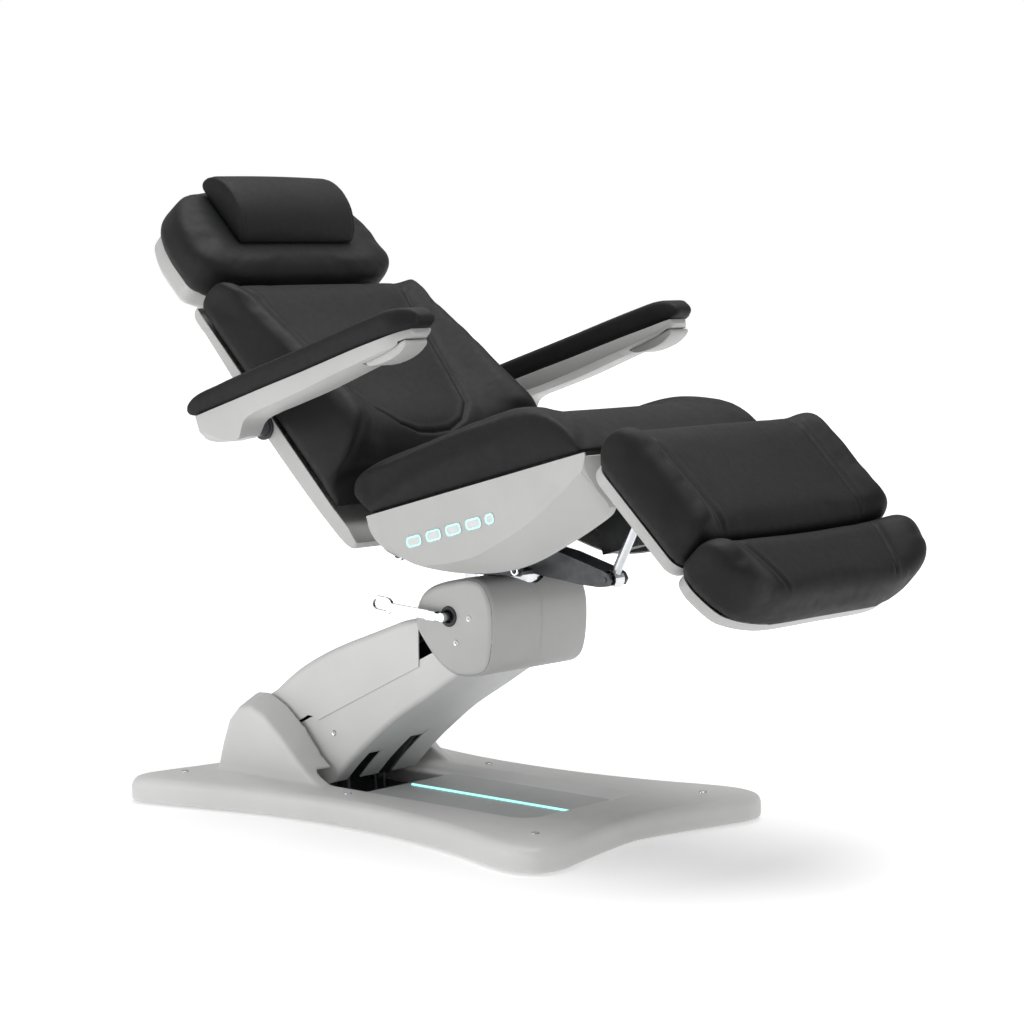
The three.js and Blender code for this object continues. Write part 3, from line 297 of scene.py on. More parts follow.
def modifier(obj, kind, **settings):
    m = obj.modifiers.new(kind.lower(), kind)
    for key, value in settings.items():
        setattr(m, key, value)
    return m


def applied(obj):
    """Bakes the object's modifiers into its mesh."""
    graph = bpy.context.evaluated_depsgraph_get()
    mesh = bpy.data.meshes.new_from_object(obj.evaluated_get(graph))
    old = obj.data
    obj.modifiers.clear()
    obj.data = mesh
    bpy.data.meshes.remove(old)
    return obj


def shade(obj, angle=32):
    """Smooth shading with sharp edges above an angle."""
    bm = bmesh.new()
    bm.from_mesh(obj.data)
    for face in bm.faces:
        face.smooth = True
    limit = math.radians(angle)
    for edge in bm.edges:
        edge.smooth = len(edge.link_faces) == 2 and edge.calc_face_angle(0) < limit
    bm.to_mesh(obj.data)
    bm.free()
    return obj


def prism(outline, y0, y1, place, skip=()):
    """A bmesh of a side outline carried from y0 to y1, leaving out the strips listed in skip."""
    bm = bmesh.new()
    near = [bm.verts.new(place(a, y0, b)) for a, b in outline]
    far = [bm.verts.new(place(a, y1, b)) for a, b in outline]
    count = len(outline)
    for i in range(count):
        j = (i + 1) % count
        if i not in skip:
            bm.faces.new((near[i], near[j], far[j], far[i]))
    bm.faces.new(near)
    bm.faces.new(list(reversed(far)))
    return bm


def slab(outline, z0, z1, place):
    """A bmesh of a plan outline (along, across) from z0 to z1."""
    bm = bmesh.new()
    low = [bm.verts.new(place(a, y, z0)) for a, y in outline]
    high = [bm.verts.new(place(a, y, z1)) for a, y in outline]
    count = len(outline)
    for i in range(count):
        j = (i + 1) % count
        bm.faces.new((low[i], low[j], high[j], high[i]))
    bm.faces.new(list(reversed(low)))
    bm.faces.new(high)
    return bm


def rounded(obj, width, segments=4, angle=38):
    modifier(obj, "BEVEL", width=width * MM, segments=segments, limit_method="ANGLE",
             angle_limit=math.radians(angle), use_clamp_overlap=True)
    return shade(applied(obj))


def rounded_rectangle(a0, a1, half, front, rear, steps=8):
    """A plan outline with its own corner radius at each end."""
    points = []
    for cx, cy, r, start in ((a1 - front, half - front, front, 0), (a0 + rear, half - rear, rear, 90),
                             (a0 + rear, rear - half, rear, 180), (a1 - front, front - half, front, 270)):
        for k in range(steps + 1):
            t = math.radians(start + 90 * k / steps)
            points.append((cx + r * math.cos(t), cy + r * math.sin(t)))
    return points


def tube(name, points, radius, material, body, cyclic=False, sides=8):
    """A round bead along points of the row frame, in metres."""
    curve = bpy.data.curves.new(name, "CURVE")
    curve.dimensions = "3D"
    curve.bevel_depth = radius
    curve.bevel_resolution = max(1, sides // 4)
    spline = curve.splines.new("POLY")
    spline.points.add(len(points) - 1)
    for target, point in zip(spline.points, points):
        target.co = (*point, 1)
    spline.use_cyclic_u = cyclic
    source = bpy.data.objects.new(name + "_line", curve)
    bpy.context.scene.collection.objects.link(source)
    graph = bpy.context.evaluated_depsgraph_get()
    mesh = bpy.data.meshes.new_from_object(source.evaluated_get(graph))
    bpy.data.objects.remove(source)
    obj = new_object(name, mesh, material, body)
    return shade(obj, 60)

# ------------------------------------------------------------------ base

BASE_EDGE = [
    (508, 0), (526, 120), (548, 225), (563, 295), (549, 350), (503, 370), (436, 360), (336, 328),
    (220, 302), (90, 285), (-80, 283), (-240, 303), (-390, 344), (-470, 367), (-528, 378),
    (-560, 350), (-555, 290), (-536, 190), (-524, 95), (-520, 0),
]
EAR_INNER = [
    (-476, 20), (-470, 60), (-460, 110), (-440, 175), (-405, 218), (-368, 223), (-318, 201),
    (-264, 160), (-214, 104), (-165, 68), (-98, 46), (-60, 20),
]
EAR_OUTER = [
    (-466, 20), (-458, 60), (-445, 108), (-424, 164), (-394, 195), (-362, 200), (-320, 183),
    (-268, 142), (-224, 102), (-190, 76), (-140, 48), (-90, 20),
]
EAR_Y = (138, 205)


def stack(rings):
    """A closed bmesh through rings with equal point counts, given from the bottom up."""
    bm = bmesh.new()
    loops = [[bm.verts.new(Vector(p) * MM) for p in ring] for ring in rings]
    count = len(loops[0])
    for low, high in zip(loops, loops[1:]):
        for i in range(count):
            j = (i + 1) % count
            bm.faces.new((low[i], low[j], high[j], high[i]))
    bm.faces.new(list(reversed(loops[0])))
    bm.faces.new(loops[-1])
    return bm


def base_ring(inset, z):
    mirrored = [(x, -y) for x, y in reversed(BASE_EDGE[1:-1])]
    loop = smooth_loop(BASE_EDGE + mirrored, (), 14)
    return [(x * (1 - inset / 560), y * (1 - inset / 300), z) for x, y in loop]


def well_ring(grow, z):
    ring = rounded_rectangle(-240, 372 + grow, 176 + grow, 44, 4)
    return [(x, y, z) for x, y in ring]


def ear(sign):
    inner = [(x, sign * EAR_Y[0], z) for x, z in smooth_run(EAR_INNER, 1e9)]
    outer = [(x, sign * EAR_Y[1], z) for x, z in smooth_run(EAR_OUTER, 1e9)]
    return stack([inner, outer])


def combine(target, cutters, operation):
    """Applies booleans of a list of bmeshes to a target object."""
    tools = []
    for i, bm in enumerate(cutters):
        tool = new_object(f"{target.name}_tool_{i}", bm, SHELL)
        tools.append(tool)
        modifier(target, "BOOLEAN", object=tool, operation=operation, solver="EXACT")
    applied(target)
    for tool in tools:
        mesh = tool.data
        bpy.data.objects.remove(tool)
        bpy.data.meshes.remove(mesh)
    return target


def block(x0, x1, y0, y1, z0, z1, place=WORLD):
    return prism([(x0, z0), (x1, z0), (x1, z1), (x0, z1)], y0, y1, place)


def base_cover():
    """The moulded floor base: a rounded skirt, a sunken well and two ears that flow into its top."""
    rings = [(3, 2.5), (0, 5), (0, 36), (2, 44), (6, 50), (12, 53.5), (22, 55)]
    cover = new_object("base_cover_moulding", stack([base_ring(i, z) for i, z in rings]), SHELL)
    bridge = prism([(-476, 20), (-462, 112), (-446, 158), (-437, 158), (-437, 20)], -139, 139, WORLD)
    combine(cover, [ear(1), ear(-1), bridge], "UNION")
    well = stack([well_ring(-24, 37), well_ring(-20, 44), well_ring(2, 56), well_ring(2, 80)])
    combine(cover, [block(-437, -118, -134, 134, -20, 300), well,
                    block(-560, -505, -22.5, 22.5, 11.5, 42.5)], "DIFFERENCE")
    modifier(cover, "REMESH", mode="VOXEL", voxel_size=0.0042)
    modifier(cover, "SMOOTH", factor=0.5, iterations=9)
    modifier(cover, "DECIMATE", ratio=0.45)
    applied(cover)
    for face in cover.data.polygons:
        face.use_smooth = True
    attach(cover, "base")
    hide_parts("base_cover")


def screw_cap(name, centre, axis, radius, body, place=WORLD):
    """A domed screw head with a recessed hexagonal socket."""
    profile = [(0, -0.6), (0.46, -0.6), (0.5, 0.3), (0.8, 0.45), (0.95, 0.25), (1.0, -0.3)]
    bm = bmesh.new()
    rings = []
    for k, (r, h) in enumerate(profile):
        sides = 24
        ring = []
        for i in range(sides):
            t = 2 * math.pi * i / sides
            reach = r * radius
            if 0 < k < 3:
                reach *= math.cos(math.pi / 6) / math.cos((t % (math.pi / 3)) - math.pi / 6)
            ring.append(bm.verts.new(Vector((reach * math.cos(t), reach * math.sin(t), h * radius * 0.5))))
        rings.append(ring)
    for low, high in zip(rings, rings[1:]):
        for i in range(len(low)):
            j = (i + 1) % len(low)
            bm.faces.new((low[i], low[j], high[j], high[i]))
    bmesh.ops.remove_doubles(bm, verts=bm.verts, dist=1e-6)
    turn = Vector((0, 0, 1)).rotation_difference(Vector(axis)).to_matrix().to_4x4()
    bm.transform(Matrix.Translation(place(*centre)) @ turn @ Matrix.Scale(MM, 4))
    obj = new_object(name, bm, CHROME, body)
    shade(obj, 35)


def base():
    base_cover()
    spots = [(467, 262), (467, -262), (-492, 267), (-492, -267), (-67, 216), (-67, -216)]
    for i, (x, y) in enumerate(spots):
        screw_cap(f"base_screw_{i + 1}", (x, y, 55.2), (0, 0, 1), 8.5, "base")


# ------------------------------------------------------------------ column and swivel housing

def thin_cover(name, wall, opening, half, thickness, bevel, cutters, body, node, place=WORLD):
    """A moulded cover: a wall along one part of a side outline, open along the rest, with two sides."""
    wall = smooth_run(wall, 9)
    outline = wall + opening
    skip = set(range(len(wall) - 1, len(outline)))
    obj = new_object(name, prism(outline, -half, half, place, skip), SHELL)
    modifier(obj, "BEVEL", width=bevel * MM, segments=5, limit_method="ANGLE",
             angle_limit=math.radians(50))
    modifier(obj, "SOLIDIFY", thickness=thickness * MM, offset=-1)
    applied(obj)
    if cutters:
        combine(obj, cutters, "DIFFERENCE")
    shade(obj, 35)
    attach(obj, body)
    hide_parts(node)
    return obj


COLUMN_FRONT = [(-190, 50), (-158, 84), (-110, 128), (-82, 151), (-20, 199), (62, 250), (130, 293),
                (152, 306)]
COLUMN_HIDDEN = [(152, 379), (-200, 206), (-290, 162), (-320, 148), (-355, 130), (-362, 90),
                 (-345, 45), (-300, 24), (-240, 33)]
UPPER_WALL = [(-385, 150), (-401, 178), (-392, 206), (-361, 226), (-330, 250), (-287, 280),
              (-228, 312), (-170, 338), (-99, 365), (-43, 386), (0, 402), (50, 414)]
UPPER_OPEN = [(50, 315), (-200, 192), (-232, 176), (-244, 182), (-262, 183), (-276, 175),
              (-300, 163), (-350, 142)]
SLOT_SPANS = ((-90, -52, -114, 118), (3, 44, -75, 152))


def column():
    slots = []
    for y0, y1, x, z in SLOT_SPANS:
        slots.append(prism([(-240, 0), (-150, 0), (x + 12, z - 12), (x, z + 4), (-200, 75)],
                           y0, y1, WORLD))
    thin_cover("lower_column_cover", COLUMN_FRONT, COLUMN_HIDDEN, COLUMN_HALF - 3.2, 3, 12, slots,
               "lower_link", "column_cover_lower")
    thin_cover("upper_column_cover", UPPER_WALL, UPPER_OPEN, COLUMN_HALF, 2.6, 14, [],
               "upper_link", "column_cover_upper")
    screw_cap("column_screw_near", (-189, -COLUMN_HALF + 3.0, 153), (0, -1, 0), 6.5, "lower_link")
    screw_cap("column_screw_far", (-189, COLUMN_HALF - 3.0, 153), (0, 1, 0), 6.5, "lower_link")


POD_OUTLINE = [
    (54, 402), (58, 441), (74, 467), (100, 484), (157, 500), (205, 507), (234, 499), (256, 464),
    (262, 430), (258, 362), (247, 331), (229, 317), (167, 309), (140, 317), (107, 338), (74, 372),
]


def shrunk(points, amount):
    cx = sum(p[0] for p in points) / len(points)
    cz = sum(p[1] for p in points) / len(points)
    return [(x + (cx - x) * amount / math.dist((x, z), (cx, cz)),
             z + (cz - z) * amount / math.dist((x, z), (cx, cz))) for x, z in points]


def disc(centre, radius, low, high, place=WORLD, sides=48, across=False):
    """A round bmesh: upright, or lying across the bed where across is set."""
    ring = []
    for i in range(sides):
        t = 2 * math.pi * i / sides
        ring.append((radius * math.cos(t), radius * math.sin(t)))
    if across:
        return prism([(centre[0] + a, centre[1] + b) for a, b in ring], low, high, place)
    return slab([(centre[0] + a, centre[1] + b) for a, b in ring], low, high, place)


def pod():
    outline = smooth_loop(POD_OUTLINE, (), 8)
    # The pod takes the darker painted-shade copy of the shell plastic.
    whole = new_object("pod_whole", prism(outline, -POD_HALF, POD_HALF, WORLD), PAINTED_SHADE_SHELL)
    modifier(whole, "BEVEL", width=15 * MM, segments=6, limit_method="ANGLE",
             angle_limit=math.radians(50))
    applied(whole)
    mouth = prism([(20, 330), (20, 442), (90, 442), (120, 400), (166, 330), (168, 290), (90, 290)],
                  -136.4, 136.4, WORLD)
    hollow = prism(shrunk(outline, 4.5), -POD_HALF + 4, POD_HALF - 4, WORLD)
    combine(whole, [hollow, mouth, disc((160, 0), 84, 470, 540),
                    disc((148, 427), 21, -170, -130, across=True)], "DIFFERENCE")
    for sign, side in ((-1, "near"), (1, "far")):
        bm = bmesh.new()
        bm.from_mesh(whole.data)
        plane = Vector((0, sign * 0.0003, 0))
        bmesh.ops.bisect_plane(bm, geom=bm.verts[:] + bm.edges[:] + bm.faces[:], plane_co=plane,
                               plane_no=(0, -sign, 0), clear_outer=True)
        half = new_object(f"pod_shell_{side}", bm, PAINTED_SHADE_SHELL, "pod")
        shade(half, 35)
        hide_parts(f"pod_cover_{side}")
    bpy.data.objects.remove(whole)
    collar()
    for i, (x, z) in enumerate(((201, 427), (167, 376))):
        screw_cap(f"pod_screw_{i + 1}", (x, -POD_HALF, z), (0, -1, 0), 6.5, "pod")
        screw_cap(f"pod_screw_{i + 3}", (x, POD_HALF, z), (0, 1, 0), 6.5, "pod")


def collar():
    """A dark rubber socket with a raised rim round the lever's stem."""
    outer = disc((148, 427), 20.6, -152.5, -140, across=True)
    obj = new_object("lever_socket", outer, BLACK)
    combine(obj, [disc((148, 427), 13, -160, -143, across=True)], "DIFFERENCE")
    rounded(obj, 1.6, 3)
    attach(obj, "pod")


# ------------------------------------------------------------------ seat shell and keypad

# Each station: along the seat, crease height, lower edge height, half width at the lower edge.
SEAT_HULL = [
    (-91, 99, 98.8, 298), (-88, 68, 67.8, 298), (-70, 38, 37.8, 298), (-24, 5, 4.8, 298),
    (18, -20, -22, 292), (60, -27, -45, 258), (92, -31, -56, 240), (163, -32, -68, 232),
    (231, -20, -67, 232), (318, 3, -51, 232), (400, 38, -30, 232), (446, 60, -14, 233),
    (456, 64, -4, 234), (460, 68, 30, 262), (466, 74, 68, 292), (476, 92, 91.8, 298),
]
SEAT_TOP = 99.4


def seat_shell():
    """A boat-shaped pan: upright sides, a rising crease, and slanted faces below it."""
    bm = bmesh.new()
    rows = []
    for u, crease, low, half in smooth_run(SEAT_HULL, 12):
        section = [(-298, SEAT_TOP), (-298, max(crease, low)), (-half, low), (-212, low),
                   (212, low), (half, low), (298, max(crease, low)), (298, SEAT_TOP)]
        rows.append([bm.verts.new(SEAT(u, y, v)) for y, v in section])
    for a, b in zip(rows, rows[1:]):
        for i in range(7):
            inside = 5 < len(rows) and i == 3 and -70 < rows_u(a) < 452
            if not inside:
                bm.faces.new((a[i], a[i + 1], b[i + 1], b[i]))
    bmesh.ops.remove_doubles(bm, verts=bm.verts, dist=0.0002)
    # The seat pan takes the darker painted-shade copy of the shell plastic.
    obj = new_object("seat_pan", bm, PAINTED_SHADE_SHELL)
    modifier(obj, "BEVEL", width=9 * MM, segments=4, limit_method="ANGLE",
             angle_limit=math.radians(24), use_clamp_overlap=True)
    modifier(obj, "SOLIDIFY", thickness=3 * MM, offset=-1)
    applied(obj)
    hinge = [block(-140, -84, -140, 140, 60, 110, SEAT), block(452, 500, -140, 140, 60, 98, SEAT)]
    wells = [block(u - w - 1, u + w + 1, -310, -290, v - h - 1, v + h + 1, SEAT)
             for u, v, w, h in KEYS]
    combine(obj, hinge + wells, "DIFFERENCE")
    shade(obj, 40)
    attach(obj, "seat")
    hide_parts("seat_shell")


def rows_u(row):
    return SEAT.local(np.array([row[0].co]))[0][0]


KEYS = [(20 + 52.6 * i, 27 + 0.5 * i, 17.5, 8.5) for i in range(4)] + [(220, 29, 9, 8)]


def rounded_outline(u, v, w, h, r, steps=5):
    return [(u + a, v + b) for a, b in
            rounded_rectangle(-w, w, h, r, r, steps)]


def keypad():
    """Rounded keys, each in a dark gap with a lit rim."""
    for i, (u, v, w, h) in enumerate(KEYS):
        body = f"seat_button_{i + 1}"
        key = new_object(f"key_{i + 1}", prism(rounded_outline(u, v, w - 1.2, h - 1.2, 6), -300, -296.8,
                                               SEAT), KEY)
        rounded(key, 1.1, 3)
        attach(key, body)
        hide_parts(body)
        path = [SEAT(a, -298.3, b) for a, b in rounded_outline(u, v, w + 0.2, h + 0.2, 6.5)]
        rim = tube(f"key_light_{i + 1}", path, 0.0012, GLOW, body, cyclic=True)
        frame_path = [SEAT(a, -298.2, b) for a, b in rounded_outline(u, v, w + 2.2, h + 2.2, 7.5)]
        frame_rim = tube(f"key_bezel_{i + 1}", frame_path, 0.0013, SHELL_GREY, "seat", cyclic=True)


# ------------------------------------------------------------------ shells of the rests

BACK_WALL = [(-34, -32), (-38, -45), (-20, -56), (60, -65), (170, -69), (300, -69), (420, -58),
             (540, -52), (592, -50), (603, -40), (604, -30.4)]
BACK_OPEN = [(45, -30.4), (0, -27)]
ARM_BOSS = (298.3, -56)


def shell_tray(name, outline, low, high, bevel, thickness, place, body, node, cutters):
    """A tray with a rounded lower edge, open at the top, with its cutters taken away."""
    # Trays take the darker painted-shade copy of the shell plastic.
    obj = new_object(name, slab(outline, low, high + 40, place), PAINTED_SHADE_SHELL)
    modifier(obj, "BEVEL", width=bevel * MM, segments=6, limit_method="ANGLE",
             angle_limit=math.radians(50))
    applied(obj)
    bm = bmesh.new()
    bm.from_mesh(obj.data)
    normal = place(0, 0, 1) - place(0, 0, 0)
    bmesh.ops.bisect_plane(bm, geom=bm.verts[:] + bm.edges[:] + bm.faces[:],
                           plane_co=place(0, 0, high), plane_no=normal, clear_outer=True)
    bm.to_mesh(obj.data)
    bm.free()
    modifier(obj, "SOLIDIFY", thickness=thickness * MM, offset=-1)
    applied(obj)
    if cutters:
        combine(obj, cutters, "DIFFERENCE")
    shade(obj, 40)
    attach(obj, body)
    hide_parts(node)
    return obj


def foot_outline(inset, step=8):
    """A rest that narrows to a blunt rounded end, as a half outline mirrored."""
    half = FOOT_HALF - inset
    side = [(265 + inset, 0), (265 + inset, half - 32), (273 + inset, half - 8), (300, half + 1),
            (340, half - 6), (372, half - 22), (392 - inset, half - 50), (404 - inset, half - 88),
            (411 - inset, half - 130), (412 - inset, 0)]
    run = smooth_run(side, step)
    return run + [(a, -y) for a, y in reversed(run[1:-1])]


def head_outline(inset, step=8):
    """The head pad's plan: broad beside the shoulders, with large rounded upper corners."""
    half = HEAD_HALF - inset
    side = [(617 + inset, 0), (617 + inset, half - 70), (634 + inset, half - 28), (662, half - 4),
            (705, half), (745, half - 1), (785, half - 11), (820, half - 29), (848 - inset, half - 55),
            (870 - inset, half - 92), (884 - inset, half - 160), (884 - inset, 0)]
    run = smooth_run(side, step)
    return run + [(a, -y) for a, y in reversed(run[1:-1])]


def rest_shells():
    posts = [block(560, 640, y - 7, y + 7, -48, -34, BACK) for y in (80, -80)]
    cutters = posts + [block(-50, 22, -180, 180, -80, 20, BACK),
                       disc(ARM_BOSS, 10.6, -320, 320, BACK, across=True)]
    tray = thin_cover("back_tray", BACK_WALL, BACK_OPEN, BACK_HALF + 1, 3, 12, cutters, "back",
                      "back_shell", BACK)
    # The back tray takes the darker painted-shade copy of the shell plastic.
    tray.data.materials[0] = PAINTED_SHADE_SHELL
    shell_tray("head_tray", head_outline(12), -80, -34.6, 18, 3, BACK, "head", "head_shell",
               [block(600, 664, -130, 130, -72, -25, BACK)])
    leg_cut = [block(-10, 19, -176, 176, -30, 20, LEG), block(-10, 62, 148, 184, -30, 20, LEG)]
    slides = [block(248, 272, y - 9, y + 9, -9, 5, LEG) for y in (106, -106)]
    shell_tray("leg_tray", rounded_rectangle(0, 262, LEG_HALF - 2, 30, 34), -18, 9.4, 14, 3, LEG,
               "leg", "leg_shell", leg_cut + slides)
    shell_tray("foot_tray", foot_outline(3), -16, 9.4, 13, 3, LEG, "foot", "foot_shell",
               [block(250, 290, y - 9, y + 9, -9, 5, LEG) for y in (106, -106)])


# ------------------------------------------------------------------ cushions


def smoothstep(x, low, high):
    t = np.clip((x - low) / (high - low), 0, 1)
    return t * t * (3 - 2 * t)


def distance_to(points, a, y):
    """Distance of each (a, y) to a polyline."""
    best = np.full(a.shape, 1e9)
    for (a0, y0), (a1, y1) in zip(points, points[1:]):
        da, dy = a1 - a0, y1 - y0
        t = np.clip(((a - a0) * da + (y - y0) * dy) / (da * da + dy * dy), 0, 1)
        best = np.minimum(best, np.hypot(a - a0 - t * da, y - y0 - t * dy))
    return best


def coordinates(obj):
    co = np.empty(len(obj.data.vertices) * 3, np.float64)
    obj.data.vertices.foreach_get("co", co)
    return co.reshape(-1, 3)


def place_vertices(obj, co):
    obj.data.vertices.foreach_set("co", co.ravel())
    obj.data.update()


HELD_HEIGHT = 9
CLOTH_FRAMES = 20


def inflated(obj, place, floor, swell, pressure=4.0):
    """Swells a padded form as cloth under pressure, held along its base, and caps how far it moves."""
    start = coordinates(obj)
    _, _, b = place.local(start)
    group = obj.vertex_groups.new(name="held")
    held = np.flatnonzero(b < floor + HELD_HEIGHT)
    group.add(held.tolist(), 1.0, "REPLACE")
    cloth = obj.modifiers.new("cloth", "CLOTH")
    cloth.settings.vertex_group_mass = "held"
    cloth.settings.use_pressure = True
    cloth.settings.uniform_pressure_force = pressure
    cloth.settings.tension_stiffness = 18
    cloth.settings.bending_stiffness = 2.0
    cloth.settings.effector_weights.gravity = 0
    cloth.point_cache.frame_start = 1
    cloth.point_cache.frame_end = CLOTH_FRAMES
    for step in range(1, CLOTH_FRAMES + 1):
        bpy.context.scene.frame_set(step)
    applied(obj)
    moved = coordinates(obj) - start
    size = np.linalg.norm(moved, axis=1, keepdims=True)
    limit = swell * MM * (1 - np.exp(-size / (swell * MM)))
    place_vertices(obj, start + moved * np.where(size > 1e-9, limit / np.maximum(size, 1e-9), 0))
    bpy.context.scene.frame_set(1)


def edge_weights(bm, place, floor, upper, lower):
    """Marks the sharp edges to round: fully above, and less where the piece meets its tray."""
    layer = bm.edges.layers.float.new("bevel_weight_edge")
    bm.normal_update()
    for edge in bm.edges:
        if len(edge.link_faces) == 2 and edge.calc_face_angle(0) > math.radians(35):
            _, _, b = place.local(np.array([v.co for v in edge.verts]))
            edge[layer] = lower / upper if b.max() < floor + 2 else 1.0


def cushion(name, bm, place, floor, body, node, form, bevel=20, voxel=6.5, swell=14, lower=5):
    """A stuffed piece: a rounded form, swollen as cloth, then shaped and seamed by form(a, y, b)."""
    edge_weights(bm, place, floor, bevel, lower)
    obj = new_object(name, bm, LEATHER)
    modifier(obj, "BEVEL", width=bevel * MM, segments=6, limit_method="WEIGHT",
             use_clamp_overlap=True)
    modifier(obj, "REMESH", mode="VOXEL", voxel_size=voxel * MM)
    modifier(obj, "SMOOTH", factor=0.5, iterations=4)
    applied(obj)
    inflated(obj, place, floor, swell)
    modifier(obj, "SMOOTH", factor=0.5, iterations=12)
    modifier(obj, "SUBSURF", levels=1, render_levels=1)
    applied(obj)
    a, y, b = place.local(coordinates(obj))
    place_vertices(obj, place.world(*form(a, y, b)))
    obj.data.shade_smooth()
    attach(obj, body)
    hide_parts(node)
    return obj


SEAT_PAD = [(-84, 101), (-112, 121), (-130, 142), (-126, 168), (-102, 184), (-58, 193), (60, 204),
            (200, 214), (300, 213), (358, 204), (404, 186), (438, 156), (458, 126), (465, 101)]
BACK_PAD = [(50, -29), (54, -12), (80, 3), (99, 34), (112, 50), (150, 56), (300, 56), (450, 56),
            (572, 56), (600, 48), (610, 20), (602, -14), (593, -29)]
BACK_WING = [(60, 56), (98, 62), (104, 96), (120, 114), (150, 124), (259, 116), (369, 104),
             (493, 80), (560, 68), (612, 66)]
BACK_PANEL = [(60, 62), (166, 68), (213, 66), (300, 58), (520, 50), (570, 54), (612, 64)]
LEG_WING = [(-12, 92), (2, 100), (17, 112), (37, 122), (64, 127), (113, 130), (191, 128),
            (240, 122), (262, 112)]
FOOT_WING = [(265, 104), (274, 112), (286, 120), (303, 127), (363, 127), (388, 119), (404, 104),
             (413, 92)]
REST_FLAT = 98
PILLOW_SIDE = [(692, 63), (702, 87), (727, 109), (760, 123), (797, 126), (832, 118), (857, 99), (866, 75),
               (859, 63)]
PANEL_EDGE = [(146, 0), (149, 48), (168, 94), (212, 138), (296, 166), (402, 190), (520, 214),
              (650, 238)]
PANEL_LOOP = [(a, -y) for a, y in reversed(PANEL_EDGE[1:])] + PANEL_EDGE


def seat_form(a, y, b):
    """A dished centre between two side bolsters."""
    upper = smoothstep(b, 120, 190)
    centre = 1 - smoothstep(np.abs(y), 168, 236)
    depth = 9 + 11 * smoothstep(a, -20, 90) * (1 - smoothstep(a, 250, 400))
    front = smoothstep(a, 380, 470)
    seam = np.exp(-((np.abs(y) - 214) / 3.0) ** 2) * smoothstep(b, 150, 185)
    b = b - depth * centre * upper - 1.5 * seam
    a = a - 7 * centre * front * smoothstep(b, 110, 150)
    return a, y, b


def table(points, a):
    """The height at each a of a smooth run through the points."""
    run = smooth_run(points, 5)
    return np.interp(a, [p[0] for p in run], [p[1] for p in run])


def overhung(y, b, floor, amount):
    """Lets the sides of a piece swell out over the rim of its tray."""
    return y + np.sign(y) * amount * smoothstep(np.abs(y), 150, 270) * smoothstep(b, floor + 1, floor + 30)


def lifted(b, floor, top, target):
    """Stretches the piece above its base so that its top surface meets the target height."""
    return b + (target - top) * np.clip((b - floor) / (top - floor), 0, 1.15)


def seam_relief(beyond):
    """A sewn seam: a groove with a soft roll on each side of it."""
    groove = 3.4 * np.exp(-(beyond / 2.6) ** 2)
    return 2.4 * np.exp(-((beyond - 9) / 6) ** 2) + 1.6 * np.exp(-((beyond + 9) / 6) ** 2) - groove


def back_form(a, y, b):
    """A flat panel with a round lower end, between two bolsters that fade towards the head."""
    edge = distance_to(PANEL_LOOP, a, y)
    half = np.interp(a, [p[0] for p in PANEL_EDGE], [p[1] for p in PANEL_EDGE], left=-1)
    outside = np.where((np.abs(y) < half) & (a > 146), -1.0, 1.0) * edge
    slope = smoothstep(np.abs(y), np.maximum(half + 4, 150), 266)
    panel = table(BACK_PANEL, a)
    side = 6 * (1 - smoothstep(a, 480, 600)) * smoothstep(outside, -2, 22)
    b = lifted(b, -29, 56, panel + side + (table(BACK_WING, a) - panel - side) * slope)
    upper = smoothstep(b, 26, 48)
    fade = 1 - smoothstep(a, 560, 600)
    y = overhung(y, b, -29, 7)
    return a, y, b + upper * seam_relief(outside) * fade


def head_form(a, y, b):
    """A shallow hollow where the pillow lies."""
    upper = smoothstep(b, 20, 52)
    hollow = (1 - smoothstep(np.abs(y), 165, 235)) * smoothstep(a, 640, 690)
    return a, overhung(y, b, -33, 6), b - 7 * hollow * upper


def pillow_form(a, y, b):
    """Flat sewn ends with a raised seam round each."""
    ends = np.exp(-((np.abs(y) - 160) / 2.6) ** 2)
    crown = 3.0 * np.cos(np.clip(np.abs(y) / 165, 0, 1) * math.pi / 2)
    return a, y, b + (crown - 2.2 * ends) * smoothstep(b, 70, 95)


def rest_form(near, far, start, stop, wing, overhang, bulge=0):
    """A flat centre between two seams, with a raised bolster along each side."""
    def form(a, y, b):
        line = np.interp(a, [start, stop], [near, far])
        beyond = np.abs(y) - line
        slope = smoothstep(np.abs(y), line + 6, 270)
        b = lifted(b, 9, 100, REST_FLAT + (table(wing, a) - REST_FLAT) * slope)
        inner = smoothstep(a, start + 2, start + 22) * (1 - smoothstep(a, stop - 22, stop - 4))
        relief = seam_relief(beyond) * inner * smoothstep(b, 60, 90)
        push = bulge * (1 - smoothstep(a, start, start + 60)) * smoothstep(b, 12, 66)
        return a - push, overhung(y, b, 10, overhang), b + relief
    return form


def cushions():
    cushion("seat_pad", prism(smooth_loop(SEAT_PAD, (0, 13)), -294, 294, SEAT), SEAT, 101, "seat",
            "seat_cushion", seat_form, bevel=24)
    cushion("back_pad", prism(smooth_loop(BACK_PAD, (0, 12)), -290, 290, BACK), BACK, -29, "back",
            "back_cushion", back_form, bevel=26)
    cushion("head_pad", slab(head_outline(0), -33, 60, BACK), BACK, -33, "head", "head_cushion",
            head_form, bevel=28, swell=10)
    cushion("pillow_bolster", prism(smooth_loop(PILLOW_SIDE, (0, 8)), -171, 171, BACK), BACK, 63, "head",
            "pillow", pillow_form, bevel=9, voxel=5, swell=8)
    cushion("leg_pad", slab(rounded_rectangle(-3, 264, LEG_HALF + 3, 28, 30), 9.8, 97, LEG), LEG, 9.8,
            "leg", "leg_cushion", rest_form(224, 211, 3, 261, LEG_WING, 11, 18), bevel=24, swell=8)
    cushion("foot_pad", slab(foot_outline(-3), 9.8, 97, LEG), LEG, 9.8, "foot", "foot_cushion",
            rest_form(209, 168, 267, 411, FOOT_WING, 15), bevel=24, swell=8)


# ------------------------------------------------------------------ armrests

